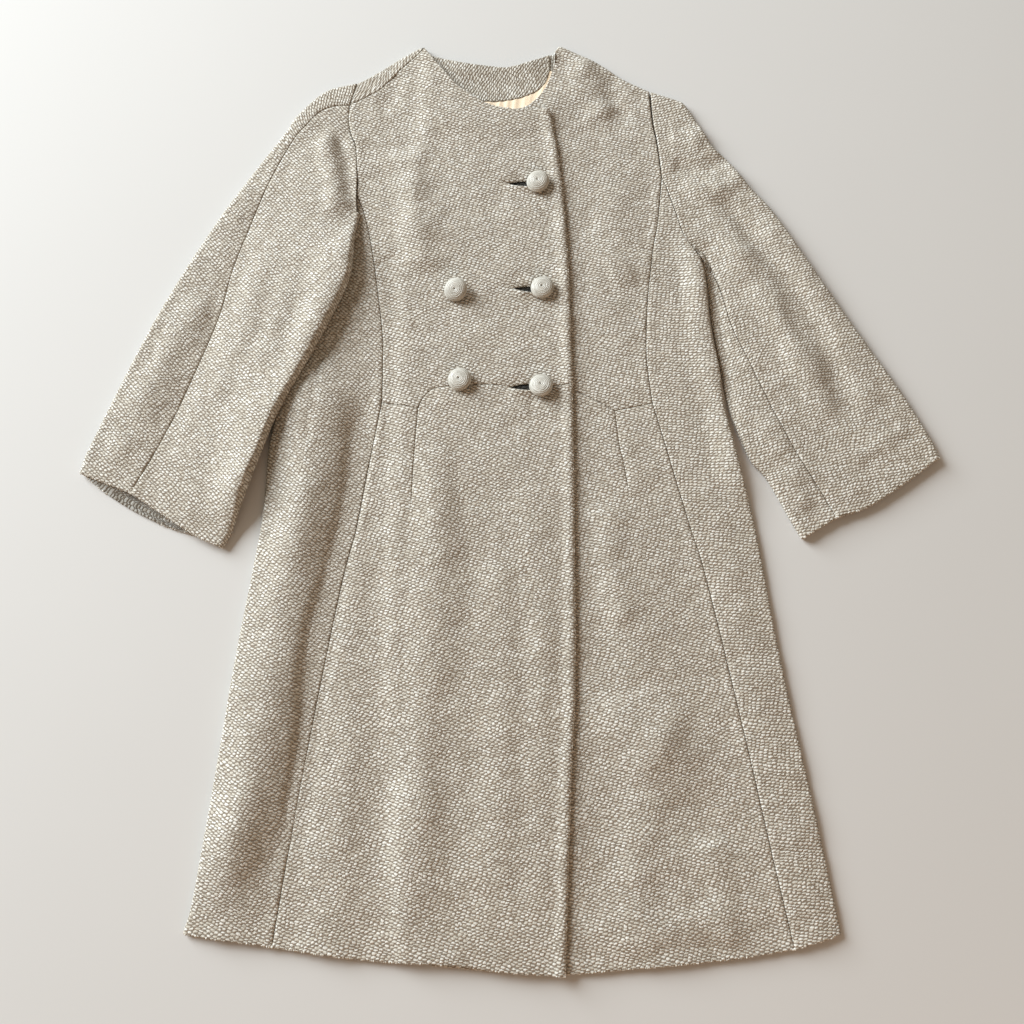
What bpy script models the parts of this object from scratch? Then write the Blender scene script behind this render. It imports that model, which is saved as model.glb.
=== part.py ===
"""A woollen coat laid flat, face up, with its right front lapped over its left.

Every piece of cloth is a wall of one thickness, worked out from its seams. A seam is a
short table of points in millimetres, read as one smooth curve. A panel is the surface
between four such curves, and height functions lay it on what is below it. Left and
right are the wearer's: the right side of the coat is at -X. +Y points to the neck, and
the coat rests on z = 0.
"""
from math import cos, pi, radians, sin

import bmesh
import bpy
import numpy as np

for old in list(bpy.data.objects):
    bpy.data.objects.remove(old, do_unlink=True)

# Driving dimensions, in millimetres
cloth = 3.0               # wall of the nubby wool with what backs it
facing_wall = 2.0
lining_wall = 1.0
seam_gap = 0.3            # between two pieces that are sewn edge to edge
layer_air = 0.8           # between two layers that lie on each other
side_flange = 8.0         # how far a front reaches round the fold, to the side seam
shoulder_flange = 6.0
neck_lift = 2.2           # the fronts ride over the neck facing
lap_lift = cloth + layer_air
sleeve_lift = 2 * cloth + layer_air + 0.5    # the right sleeve lies on the coat's side
head_puff = 0.8           # how much fuller a sleeve is than the coat, at its head
sleeve_puff = 1.6         # and how much more below it
puff_length = 0.3         # over this share of the sleeve's length
gather_count = 9          # soft gathers of the lining
gather_height = 0.6
end_bend_decay = 10       # how soon a sleeve's head and cuff bends fade along it
cuff_drop = 9.0           # the right cuff's lower layer shows past its upper one
button_radius = 11.7
button_dome = 7.8
shank_radius = 1.9
button_clear = 1.0        # least air under a leaning button
hole_width = 5.0
hole_start_width = 1.0
neck_zone = {"x": -22, "y": 480, "half_x": 78, "half_y": 62}    # lifted by the neck facing
neck_zone_fade = (1.3, 1.7)    # where that lift fades, as shares of the zone's half sizes
ridge_free = (-105, 75)   # no ridges between these, where the fronts lie on each other
ridge_fade = 20
lap_rise = (45, 22)       # how far outside the hidden edge the lap starts to rise, and is up
# where the right sleeve climbs on the coat's side, across and along it
sleeve_climb = {"across": (-115, -26), "head": (400, 295), "cuff": (-85, 15)}
centre_x = 1.5            # puts the middle of the whole outline on the origin
centre_y = -6.0
mm = 0.001

# How many steps a panel has along each of its seams
armhole_steps = 5
bodice_steps = 6
skirt_steps = 13
shoulder_steps = 4
neck_steps = 8
pocket_steps = 3
corner_steps = 3
waist_steps = 6
side_steps = 6
sleeve_steps = 13
head_steps = 24
# across each half of a sleeve: its upper layer and its lower one
half_steps = {"right_front": (6, 3), "right_back": (3, 6),
              "left_front": (8, 2), "left_back": (2, 7)}
fold_angles = (45, 0, -45)
gather_steps = 36

# Seams and edges of the right side: each table has a column x and a column y
right = {
    "shoulder": {"x": [-184, -151, -137, -100], "y": [426, 445, 460, 496]},
    "neck": {"x": [-100, -79, -61, -44, -29, -10, 10, 42],
             "y": [496, 469, 448, 436, 426, 420, 418, 418]},
    "armhole": {"x": [-184, -184, -180, -175, -172, -172], "y": [426, 406, 387, 374, 337, 315]},
    "underarm": {"x": [-172, -173, -186, -199], "y": [315, 291, 262, 235]},
    "princess_upper": {"x": [-172, -162, -153, -145, -139, -138, -138],
                       "y": [315, 288, 246, 194, 147, 110, 75]},
    "princess_lower": {"x": [-138, -152, -161, -176, -205, -228],
                       "y": [75, -5, -60, -128, -301, -465]},
    "front_upper": {"x": [42, 46, 52, 59, 62, 64], "y": [418, 395, 354, 274, 202, 94]},
    "front_lower": {"x": [64, 64, 63, 58, 50], "y": [94, -52, -215, -307, -490]},
    "pocket_top": {"x": [-138, -99], "y": [75, 68]},
    "waist_corner": {"x": [-99, -94, -84, -70], "y": [68, 79, 89, 92]},
    "waist": {"x": [-70, -29, 19, 64], "y": [92, 94, 91, 94]},
    "pocket_line": {"x": [-99, -102, -104, -109, -124], "y": [68, 22, -31, -220, -478]},
    "hem_pocket": {"x": [-228, -152, -124], "y": [-465, -475, -478]},
    "hem_front": {"x": [-124, -61, -1, 50], "y": [-478, -480, -487, -490]},
    "hem_side": {"x": [-314, -228], "y": [-453, -465]},
    "body_edge": {"x": [-199, -223, -241, -255, -258, -266, -277, -290, -306, -314],
                  "y": [235, 156, 89, 33, -40, -105, -183, -291, -419, -453]},
}

# The same for the left side, whose front edge lies hidden under the lap
left = {
    "shoulder": {"x": [157, 127, 97, 55], "y": [444, 460, 481, 502]},
    "neck": {"x": [55, 50, 48, 40, 25, 8, -30, -68],
             "y": [502, 494, 478, 452, 431, 421, 417, 415]},
    "armhole": {"x": [157, 158, 160, 163, 166, 167], "y": [444, 422, 399, 381, 349, 337]},
    "underarm": {"x": [167, 172, 180, 189, 201], "y": [337, 322, 296, 264, 244]},
    "princess_upper": {"x": [167, 161, 154, 147, 144, 146, 149],
                       "y": [337, 284, 246, 189, 135, 100, 74]},
    "princess_lower": {"x": [149, 160, 182, 198, 229, 254, 268],
                       "y": [74, 33, -52, -111, -264, -396, -467]},
    "front_upper": {"x": [-68, -72, -78, -85, -88, -90], "y": [415, 395, 354, 274, 202, 94]},
    "front_lower": {"x": [-90, -90, -89, -84, -76], "y": [94, -52, -215, -307, -481]},
    "pocket_top": {"x": [149, 109], "y": [74, 66]},
    "waist_corner": {"x": [109, 86, 64], "y": [66, 79, 90]},
    "waist": {"x": [64, 20, -30, -90], "y": [90, 94, 95, 94]},
    "pocket_line": {"x": [109, 113, 120, 145, 175], "y": [66, 27, -12, -220, -479]},
    "hem_pocket": {"x": [268, 215, 175], "y": [-467, -475, -479]},
    "hem_front": {"x": [175, 105, 50, -10, -76], "y": [-479, -485, -489, -487, -481]},
    "hem_side": {"x": [314, 268], "y": [-454, -467]},
    "body_edge": {"x": [201, 210, 212, 214, 222, 225, 237, 252, 271, 295, 314],
                  "y": [244, 223, 200, 164, 112, 74, 14, -62, -198, -337, -454]},
}

# The back's own edges, seen from the face of the coat
back_shoulder_right = {"x": [-176, -166, -134, -101], "y": [455, 460, 481, 502]}
back_neck = {"x": [-101, -94, -57, -18, -2, 26, 46, 55],
             "y": [502, 494, 482, 476, 476, 485, 496, 502]}
back_armhole_right = {"x": [-176, -184, -184, -175, -172, -172, -175, -186],
                      "y": [455, 426, 406, 374, 337, 300, 272, 247]}
back_armhole_left = {"x": [157, 158, 163, 167, 172, 180, 189],
                     "y": [437, 422, 381, 337, 322, 290, 256]}
back_hem = {"x": [-300, -228, -152, -61, -1, 50, 105, 183, 268, 300],
            "y": [-448, -461, -472, -478, -485, -487, -481, -474, -461, -448]}
facing_lower = {"x": [-88, -66, -44, -18, 16, 36, 43], "y": [472, 450, 436, 432, 439, 453, 472]}
facing_upper = {"x": [-90, -57, -18, -2, 26, 43], "y": [490, 480, 474.5, 474.5, 483.5, 492]}
lining_lower = {"x": [-90, -72, -50, -12, 18, 44, 52, 51],
                "y": [462, 440, 420, 408, 410, 428, 456, 470]}

# Sleeves: the two folds that make the outline, and the two seams between the halves
sleeve_right = {
    "outer": {"x": [-176, -212, -244, -257, -323, -384, -441, -452],
              "y": [455, 444, 412, 389, 287, 171, 33, -2]},
    "inner": {"x": [-171, -172, -176, -201, -242, -260, -287, -298],
              "y": [291, 237, 208, 149, 67, 18, -60, -81]},
    "over_seam": {"x": [-184, -200, -216, -230, -247, -275, -303, -316, -345, -373, -396],
                  "y": [426, 425, 418, 402, 378, 314, 230, 171, 89, 22, -24]},
    "under_seam": {"x": [-176, -196, -262, -310, -326], "y": [330, 240, 60, -40, -67]},
    "head_over": {"x": [-184, -176], "y": [426, 455]},
    "head_front": {"x": [-184, -184, -180, -175, -172, -172, -171],
                   "y": [426, 406, 387, 374, 337, 315, 291]},
    "cuff_over": {"x": [-396, -452], "y": [-24, -2]},
    "cuff_front": {"x": [-396, -357, -322, -298], "y": [-24, -49, -71, -81]},
    "head_low": {"x": [-178, -185, -185, -176, -176], "y": [452, 426, 404, 372, 330]},
}
sleeve_left = {
    "outer": {"x": [157, 187, 198, 224, 241, 267, 294, 358, 412, 437, 449],
              "y": [444, 433, 424, 377, 358, 322, 287, 178, 89, 42, 14]},
    "inner": {"x": [203, 213, 221, 226, 228, 228, 229, 232, 239, 250, 266, 292, 299],
              "y": [245, 223, 194, 170, 139, 111, 85, 64, 38, 11, -9, -60, -72]},
    "under_seam": {"x": [204, 223, 236, 250, 267, 285, 304, 320, 335],
                   "y": [258, 213, 162, 128, 87, 46, 8, -21, -50]},
    "over_seam": {"x": [159, 190, 250, 345, 424, 438], "y": [424, 404, 322, 170, 45, 12]},
    "head_front": {"x": [204, 191, 180, 172, 167, 166, 163, 160, 158, 157],
                   "y": [258, 272, 296, 322, 337, 349, 381, 399, 422, 444]},
    "head_under": {"x": [204, 203], "y": [258, 245]},
    "cuff_front": {"x": [335, 370, 408, 441, 449], "y": [-50, -38, -14, 9, 14]},
    "cuff_under": {"x": [335, 299], "y": [-50, -72]},
    "head_low": {"x": [163, 168, 181, 203], "y": [381, 337, 296, 245]},
}

# Soft ridges of the skirt: where each starts and ends, half its width, and its height
ridges = [
    {"x0": -190, "y0": 60, "x1": -268, "y1": -440, "half": 48, "height": 2.4},
    {"x0": -120, "y0": -60, "x1": -176, "y1": -465, "half": 42, "height": 2.8},
    {"x0": 118, "y0": -20, "x1": 148, "y1": -470, "half": 50, "height": 2.0},
    {"x0": 196, "y0": 20, "x1": 284, "y1": -450, "half": 34, "height": 1.8},
    {"x0": -152, "y0": 360, "x1": -118, "y1": 170, "half": 34, "height": 2.6},
    {"x0": 118, "y0": 330, "x1": 96, "y1": 190, "half": 38, "height": 2.2},
]

# Buttons: middle, lean to the left and towards the hem in degrees, and where the slit
# starts (left out where the button is sewn on without one)
buttons = [
    {"name": "button_top", "x": 29, "y": 327, "lean_x": 11, "lean_y": 4, "slit": -4},
    {"name": "button_middle", "x": 33, "y": 202, "lean_x": 8, "lean_y": 0, "slit": 2},
    {"name": "button_waist", "x": 31, "y": 91, "lean_x": 11, "lean_y": -5, "slit": -2},
    {"name": "button_inner_middle", "x": -60, "y": 199, "lean_x": 13, "lean_y": 13},
    {"name": "button_inner_waist", "x": -55, "y": 98, "lean_x": 11, "lean_y": 2},
]

# A button's half section above its base, as shares of its radius and of its dome's height
button_section = {"radius": [0.62, 0.93, 1.00, 0.96, 0.82, 0.55, 0.24, 0.10, 0.05, 0.0],
                  "height": [0.00, 0.10, 0.28, 0.50, 0.74, 0.93, 1.00, 1.00, 0.90, 0.90]}
button_sides = 16
bend_start = 0.4          # the shank starts to lean at this share of its height

wool_color = (0.48, 0.42, 0.35, 1.0)
satin_color = (0.93, 0.76, 0.56, 1.0)
button_color = (0.60, 0.56, 0.49, 1.0)


def resample(line, count):
    """Points along a line, evenly spaced by its length."""
    run = np.concatenate([[0.0], np.cumsum(np.linalg.norm(np.diff(line, axis=0), axis=1))])
    at = np.linspace(0.0, run[-1], count + 1)
    return np.column_stack([np.interp(at, run, line[:, 0]), np.interp(at, run, line[:, 1])])


def smooth(table, count):
    """A smooth curve through a table's points, cut into even steps."""
    points = corners(table)
    ends = np.vstack([2 * points[0] - points[1], points, 2 * points[-1] - points[-2]])
    s = np.linspace(0.0, 1.0, 24, endpoint=False)[:, None]
    spans = []
    for a, b, c, d in zip(ends[:-3], ends[1:-2], ends[2:-1], ends[3:]):
        cubic = (3 * b - a - 3 * c + d) * s ** 3 + (2 * a - 5 * b + 4 * c - d) * s ** 2
        spans.append(0.5 * (2 * b + (c - a) * s + cubic))
    return resample(np.vstack(spans + [points[-1:]]), count)


def corners(table):
    """A table's points as they are, to be joined by straight lines."""
    return np.column_stack([table["x"], table["y"]]).astype(float)


def join(*lines):
    """Lines end to end, each starting where the one before it stops."""
    return np.vstack([lines[0]] + [line[1:] for line in lines[1:]])


def fraction(line):
    run = np.concatenate([[0.0], np.cumsum(np.linalg.norm(np.diff(line, axis=0), axis=1))])
    return run / run[-1]


def between(top, bottom, start, end, decay=1):
    """The plan of a panel: a surface between four edges that meet at its corners.

    top and bottom run from start to end, and start and end run from top to bottom. Rows
    are straight from start to end, plus the bends of top and bottom, which fade away
    from them: the higher decay is, the sooner.
    """
    u = (0.5 * (fraction(top) + fraction(bottom)))[None, :, None]
    v = (0.5 * (fraction(start) + fraction(end)))[:, None, None]
    rows = (1 - u) * start[:, None] + u * end[:, None]
    return rows + (1 - v) ** decay * (top - rows[0]) + v ** decay * (bottom - rows[-1])


def trim(plan, amount, sides):
    """Draws the named sides of a plan in, towards the points next to them."""
    plan = plan.copy()
    views = {"top": (plan[0], plan[1]), "bottom": (plan[-1], plan[-2]),
             "start": (plan[:, 0], plan[:, 1]), "end": (plan[:, -1], plan[:, -2])}
    for side in sides:
        edge, inner = views[side]
        way = inner - edge
        edge += amount * way / np.linalg.norm(way, axis=1)[:, None]
    return plan


def ease(low, high, value):
    """0 below low, 1 above high, and smooth between them."""
    t = np.clip((value - low) / (high - low), 0.0, 1.0)
    return t * t * (3 - 2 * t)


def inward(edge, toward):
    """Unit vectors square to an edge, on its side where the point toward lies."""
    along = np.gradient(edge, axis=0)
    square = np.column_stack([along[:, 1], -along[:, 0]])
    square /= np.linalg.norm(square, axis=1)[:, None]
    side = np.sign(np.sum(square * (np.asarray(toward) - edge), axis=1))
    return square * side[:, None]


hidden_edge = join(smooth(left["front_upper"], 12), smooth(left["front_lower"], 12))
right_edge = join(smooth(right["underarm"], 8), smooth(right["body_edge"], 20))


def edge_x(line, y):
    return np.interp(y, line[::-1, 1], line[::-1, 0])


def ridge_height(x, y):
    total = np.zeros(np.shape(x))
    for ridge in ridges:
        along = np.clip((ridge["y0"] - y) / (ridge["y0"] - ridge["y1"]), -0.4, 1.4)
        crest = ridge["x0"] + along * (ridge["x1"] - ridge["x0"])
        across = np.clip(np.abs(x - crest) / ridge["half"], 0.0, 1.0)
        ends = ease(-0.3, 0.4, along) * (1.0 if ridge["y1"] < -300 else 1 - ease(0.6, 1.3, along))
        total += ridge["height"] * ends * 0.5 * (1 + np.cos(pi * across))
    return total


def front_floor(x, y):
    """Height of the underside of the fronts where they lie on the back."""
    round_neck = np.hypot((x - neck_zone["x"]) / neck_zone["half_x"],
                          (y - neck_zone["y"]) / neck_zone["half_y"])
    lift = neck_lift * (1 - ease(*neck_zone_fade, round_neck))
    low, high = ridge_free
    outside = ease(low, low - ridge_fade, x) + ease(high, high + ridge_fade, x)
    return cloth + layer_air + lift + ridge_height(x, y) * np.clip(outside, 0, 1)


def lap_floor(x, y):
    """Height of the underside of the right front, which rises over the left one."""
    start = edge_x(hidden_edge, y)
    return front_floor(x, y) + lap_lift * ease(start - lap_rise[0], start - lap_rise[1], x)


def right_sleeve_floor(x, y):
    """Height that the right sleeve rests at: on the surface, and on the coat's side."""
    near_side = ease(*sleeve_climb["across"], x - edge_x(right_edge, y))
    below_head = ease(*sleeve_climb["head"], y)
    above_cuff = ease(*sleeve_climb["cuff"], y)
    return sleeve_lift * near_side * below_head * above_cuff


def left_sleeve_floor(x, y):
    return np.zeros_like(x)


def grid_on(plan, floor):
    """Outer and inner points of a wall that lies on a floor function."""
    low = floor(plan[..., 0], plan[..., 1])
    inner = np.concatenate([plan, low[..., None]], axis=2)
    outer = inner + [0, 0, cloth]
    return outer, inner


def fold_columns(edge, way, rest, height, flange):
    """Columns of a wall that turns under: half a round, then a flat strip below.

    edge is the outermost line, way points inward from it, rest is the height that the
    fold stands on and height its whole thickness. The lower strip is left out where
    flange is 0.
    """
    radius = (height / 2)[:, None]
    middle = rest + height / 2
    outer, inner = [], []
    for angle in fold_angles:
        for wall, radial in ((outer, radius), (inner, radius - cloth)):
            plan = edge + way * (radius - radial * cos(radians(angle)))
            level = middle + radial[:, 0] * sin(radians(angle))
            wall.append(np.column_stack([plan, level]))
    for reach in ([0.0, flange] if flange else [0.0]):
        plan = edge + way * (radius + reach)
        outer.append(np.column_stack([plan, rest]))
        inner.append(np.column_stack([plan, rest + cloth]))
    return np.stack(outer, axis=1), np.stack(inner, axis=1)


def beside(*walls):
    """Puts walls next to each other, column after column."""
    return tuple(np.concatenate(sides, axis=1) for sides in zip(*walls))


def material(name, color, roughness):
    made = bpy.data.materials.new(name)
    made.use_nodes = True
    shader = made.node_tree.nodes["Principled BSDF"]
    shader.inputs["Base Color"].default_value = color
    shader.inputs["Roughness"].default_value = roughness
    shader.inputs["Metallic"].default_value = 0.0
    return made


def add_object(name, points, faces, made):
    """A closed mesh in metres, with its faces turned outward."""
    mesh = bpy.data.meshes.new(name)
    places = (np.asarray(points) + [centre_x, centre_y, 0.0]) * mm
    mesh.from_pydata([tuple(p) for p in places], [], faces)
    body = bmesh.new()
    body.from_mesh(mesh)
    bmesh.ops.triangulate(body, faces=body.faces)
    bmesh.ops.recalc_face_normals(body, faces=body.faces)
    body.to_mesh(mesh)
    body.free()
    mesh.materials.append(made)
    thing = bpy.data.objects.new(name, mesh)
    bpy.context.collection.objects.link(thing)
    return thing


def cloth_piece(name, walls, made):
    """One closed piece from one or more grids: coinciding points join them."""
    found = {}
    outer, inner, quads = [], [], []
    for outer_grid, inner_grid in walls:
        rows, columns = outer_grid.shape[:2]
        index = np.zeros((rows, columns), int)
        for r in range(rows):
            for c in range(columns):
                key = tuple(np.round(np.concatenate([outer_grid[r, c], inner_grid[r, c]]), 3))
                if key not in found:
                    found[key] = len(outer)
                    outer.append(outer_grid[r, c])
                    inner.append(inner_grid[r, c])
                index[r, c] = found[key]
        for r in range(rows - 1):
            for c in range(columns - 1):
                quads.append((index[r, c], index[r, c + 1], index[r + 1, c + 1], index[r + 1, c]))
    count = len(outer)
    faces = []
    ways = set()
    for quad in quads:
        faces.append(quad)
        faces.append(tuple(count + k for k in reversed(quad)))
        ways.update(zip(quad, quad[1:] + quad[:1]))
    for a, b in sorted(ways):
        if (b, a) not in ways:
            faces.append((b, a, count + a, count + b))
    return add_object(name, outer + inner, faces, made)


def bodice(name, side, floor, made, wraps):
    """A front from shoulder to waist, with its shoulder turned over where it wraps."""
    top = join(smooth(side["shoulder"], shoulder_steps), smooth(side["neck"], neck_steps))
    bottom = join(smooth(side["pocket_top"], pocket_steps),
                  smooth(side["waist_corner"], corner_steps), smooth(side["waist"], waist_steps))
    start = join(smooth(side["armhole"], armhole_steps),
                 smooth(side["princess_upper"], bodice_steps))
    end = smooth(side["front_upper"], armhole_steps + bodice_steps)
    walls = []
    if wraps:
        outline = top[:shoulder_steps + 1].copy()
        way = inward(outline, (100, 300))
        height = floor(outline[:, 0], outline[:, 1]) + cloth
        top[:shoulder_steps + 1] += way * (height / 2)[:, None]
        start = start + (top[0] - start[0]) * np.linspace(1, 0, len(start))[:, None] ** 4
        rest = np.zeros(len(outline))
        walls.append(fold_columns(outline, way, rest, height, shoulder_flange))
    sides = ["start", "bottom"] if wraps else ["start", "bottom", "top"]
    plan = trim(between(top, bottom, start, end), seam_gap / 2, sides)
    face = grid_on(plan, floor)
    if wraps:
        strip = tuple(wall[0, :shoulder_steps + 1][:, None] for wall in face)
        walls = [beside(strip, walls[0])]
    return cloth_piece(name, [face] + walls, made)


def skirt(name, side, floor, made):
    """A front from waist to hem, slit along the pocket line down to where it ends."""
    line = smooth(side["pocket_line"], skirt_steps)
    start = smooth(side["princess_lower"], skirt_steps)
    end = smooth(side["front_lower"], skirt_steps)
    pocket = between(smooth(side["pocket_top"], pocket_steps),
                     smooth(side["hem_pocket"], pocket_steps), start, line)
    top = join(smooth(side["waist_corner"], corner_steps), smooth(side["waist"], waist_steps))
    front = between(top, smooth(side["hem_front"], corner_steps + waist_steps), line, end)
    pocket = trim(pocket, seam_gap / 2, ["start", "top"])
    front = trim(front, seam_gap / 2, ["top"])
    front[0, 0] = front[0, 0] * [1, 0] + pocket[0, -1] * [0, 1]
    way = np.sign(front[0, 1, 0] - front[0, 0, 0])
    pocket[1:, -1] = front[1:, 0]
    pocket[:2, -1, 0] -= way * seam_gap / 2
    front[:2, 0, 0] += way * seam_gap / 2
    return cloth_piece(name, [grid_on(pocket, floor), grid_on(front, floor)], made)


def side_front(name, side, floor, made):
    """The panel from the princess seam round the side fold to the side seam below."""
    edge = smooth(side["body_edge"], bodice_steps + skirt_steps)
    start = join(smooth(side["princess_upper"], bodice_steps),
                 smooth(side["princess_lower"], skirt_steps))
    way = inward(edge, (0, 0))
    height = floor(edge[:, 0], edge[:, 1]) + cloth
    end = edge + way * (height / 2)[:, None]
    top = smooth(side["underarm"], side_steps)
    top[-1] = end[0]
    bottom = smooth(side["hem_side"], side_steps)[::-1].copy()
    bottom[-1] = end[-1]
    plan = trim(between(top, resample(bottom, side_steps), start, end), seam_gap / 2,
                ["start", "top"])
    plan[0, -1] = end[0]
    low = floor(plan[..., 0], plan[..., 1])
    low[:, -1] = height - cloth
    inner = np.concatenate([plan, low[..., None]], axis=2)
    face = (inner + [0, 0, cloth], inner)
    fold = fold_columns(edge, way, np.zeros(len(edge)), height, side_flange)
    return cloth_piece(name, [beside(face, fold)], made)


def inset_edge(side, floor, flange):
    """The side seam on the underside, as the back sees it."""
    edge = smooth(side["body_edge"], bodice_steps + skirt_steps)
    way = inward(edge, (0, 0))
    height = floor(edge[:, 0], edge[:, 1]) + cloth
    return edge + way * (height / 2 + flange + seam_gap)[:, None]


def armhole_and_side(armhole, side):
    """One side of the back: its armhole, then the side seam on the underside."""
    side_seam = inset_edge(side, front_floor, side_flange)
    armhole = smooth(armhole, armhole_steps)
    armhole[-1] = side_seam[0]
    return join(armhole, side_seam)


def back(made):
    """The back, flat on the surface, and turned over the right shoulder to its seam."""
    outline = smooth(back_shoulder_right, shoulder_steps)
    seam = smooth(right["shoulder"], shoulder_steps)
    way = seam - outline
    reach = np.linalg.norm(way, axis=1)
    way = way / reach[:, None]
    height = front_floor(seam[:, 0], seam[:, 1]) + cloth
    radius = (height / 2)[:, None]
    shoulder_left = smooth(left["shoulder"], shoulder_steps)[::-1]
    left_way = inward(shoulder_left, (100, 300))
    left_height = front_floor(shoulder_left[:, 0], shoulder_left[:, 1]) + cloth
    shoulder_left = shoulder_left + left_way * (left_height / 2
                                                + shoulder_flange + seam_gap)[:, None]
    neck = smooth(back_neck, neck_steps)
    neck[0] = (outline + way * radius)[-1]
    neck[-1] = shoulder_left[0]
    top = join(outline + way * radius, neck, shoulder_left)
    start = armhole_and_side(back_armhole_right, right)
    end = armhole_and_side(back_armhole_left, left)
    start[0] = top[0]
    end[0] = top[-1]
    hem = smooth(back_hem, len(top) - 1)
    hem[0] = start[-1]
    hem[-1] = end[-1]
    plan = trim(between(top, hem, start, end), seam_gap, ["start", "end"])
    face = grid_on(plan, lambda x, y: np.zeros_like(x))
    under = tuple(wall[0, :shoulder_steps + 1][:, None] for wall in face)
    outer, inner = [], []
    for angle in [-angle for angle in fold_angles] + [90]:
        for wall, radial in ((outer, radius), (inner, radius - cloth)):
            place = outline + way * (radius - radial * cos(radians(angle)))
            place[0] += (plan[0, 0] - top[0])
            level = height / 2 + radial[:, 0] * sin(radians(angle))
            wall.append(np.column_stack([place, level]))
    last = seam - way * seam_gap / 2
    last[0] += plan[0, 0] - top[0]
    outer.append(np.column_stack([last, height]))
    inner.append(np.column_stack([last, height - cloth]))
    # below, the wall's outer side is the resting face, so the two sides change places
    strip = (np.stack(outer, axis=1), np.stack(inner, axis=1))
    under = (under[1], under[0])
    flipped = (face[1], face[0])
    return cloth_piece("back", [flipped, beside(under, strip)], made)


def sleeve_half(name, edge, way, seams, heads, cuffs, floor, made, counts, drop):
    """Half a sleeve: from the seam on top, round a fold, to the seam underneath.

    edge is the fold's outermost line and way points from it into the sleeve. seams,
    heads and cuffs give the upper and the lower one of each.
    """
    v = fraction(edge)
    height = 2 * cloth + layer_air + head_puff + sleeve_puff * ease(0.0, puff_length, v)
    rest = floor(edge[:, 0], edge[:, 1])
    end = edge + way * (height / 2)[:, None]
    walls = []
    for level in (0, 1):
        head = heads[level].copy()
        cuff = cuffs[level].copy()
        head[-1] = end[0]
        cuff[-1] = end[-1]
        plan = between(resample(head, counts[level]), resample(cuff, counts[level]),
                       seams[level], end, decay=end_bend_decay)
        plan = trim(plan, seam_gap * (0.5 + level), ["start"])
        plan = trim(plan, 2 * seam_gap, ["top"])
        plan[0, -1] = end[0]
        if level == 1 and drop:
            across = fraction(plan[-1])
            reach = cuff_drop * np.sin(pi * across) ** 0.7
            shift = plan[-1] - plan[-2]
            shift /= np.linalg.norm(shift, axis=1)[:, None]
            plan[-1] += shift * reach[:, None]
        low = floor(plan[..., 0], plan[..., 1])
        low[:, -1] = rest
        top = low + height[:, None]
        if level == 0:
            outer, inner = top, top - cloth
        else:
            outer, inner = low, low + cloth
        walls.append(tuple(np.concatenate([plan, z[..., None]], axis=2) for z in (outer, inner)))
    fold = fold_columns(edge, way, rest, height, 0)
    fold = tuple(side[:, :-1] for side in fold)
    lower = tuple(side[:, ::-1] for side in walls[1])
    return cloth_piece(name, [beside(walls[0], fold, lower)], made)


def reversed_line(line):
    return line[::-1].copy()


def along_head(way, head):
    """Turns the first inward vector of an outer fold along the sleeve's head."""
    way = way.copy()
    way[0] = (head[0] - head[-1]) / np.linalg.norm(head[0] - head[-1])
    return way


def sleeves(made):
    n = sleeve_steps
    fine = head_steps
    table = sleeve_right
    outer = smooth(table["outer"], n)
    inner = smooth(table["inner"], n)
    over = smooth(table["over_seam"], n)
    under = smooth(table["under_seam"], n)
    head_low = corners(table["head_low"])
    sleeve_half("sleeve_right_front", inner, inward(inner, (-420, 120)), (over, under),
                (smooth(table["head_front"], fine), np.vstack([under[0], inner[0]])),
                (smooth(table["cuff_front"], fine), np.vstack([under[-1], inner[-1]])),
                right_sleeve_floor, made, half_steps["right_front"], False)
    outer_way = along_head(inward(outer, (-200, 0)), np.array([[-184, 426], outer[0]]))
    sleeve_half("sleeve_right_back", outer, outer_way, (over, under),
                (smooth(table["head_over"], fine), reversed_line(head_low)),
                (smooth(table["cuff_over"], fine), np.vstack([under[-1], outer[-1]])),
                right_sleeve_floor, made, half_steps["right_back"], True)
    table = sleeve_left
    outer = smooth(table["outer"], n)
    inner = smooth(table["inner"], n)
    over = smooth(table["over_seam"], n)
    under = smooth(table["under_seam"], n)
    head_low = np.vstack([over[:1], corners(table["head_low"])])
    outer_way = along_head(inward(outer, (200, 0)), np.array([[159, 422], outer[0]]))
    sleeve_half("sleeve_left_front", outer, outer_way, (under, over),
                (smooth(table["head_front"], fine), np.vstack([over[0], outer[0]])),
                (smooth(table["cuff_front"], fine), np.vstack([over[-1], outer[-1]])),
                left_sleeve_floor, made, half_steps["left_front"], False)
    sleeve_half("sleeve_left_back", inner, inward(inner, (420, 120)), (under, over),
                (smooth(table["head_under"], fine), head_low),
                (smooth(table["cuff_under"], fine), np.vstack([over[-1], inner[-1]])),
                left_sleeve_floor, made, half_steps["left_back"], False)


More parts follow.
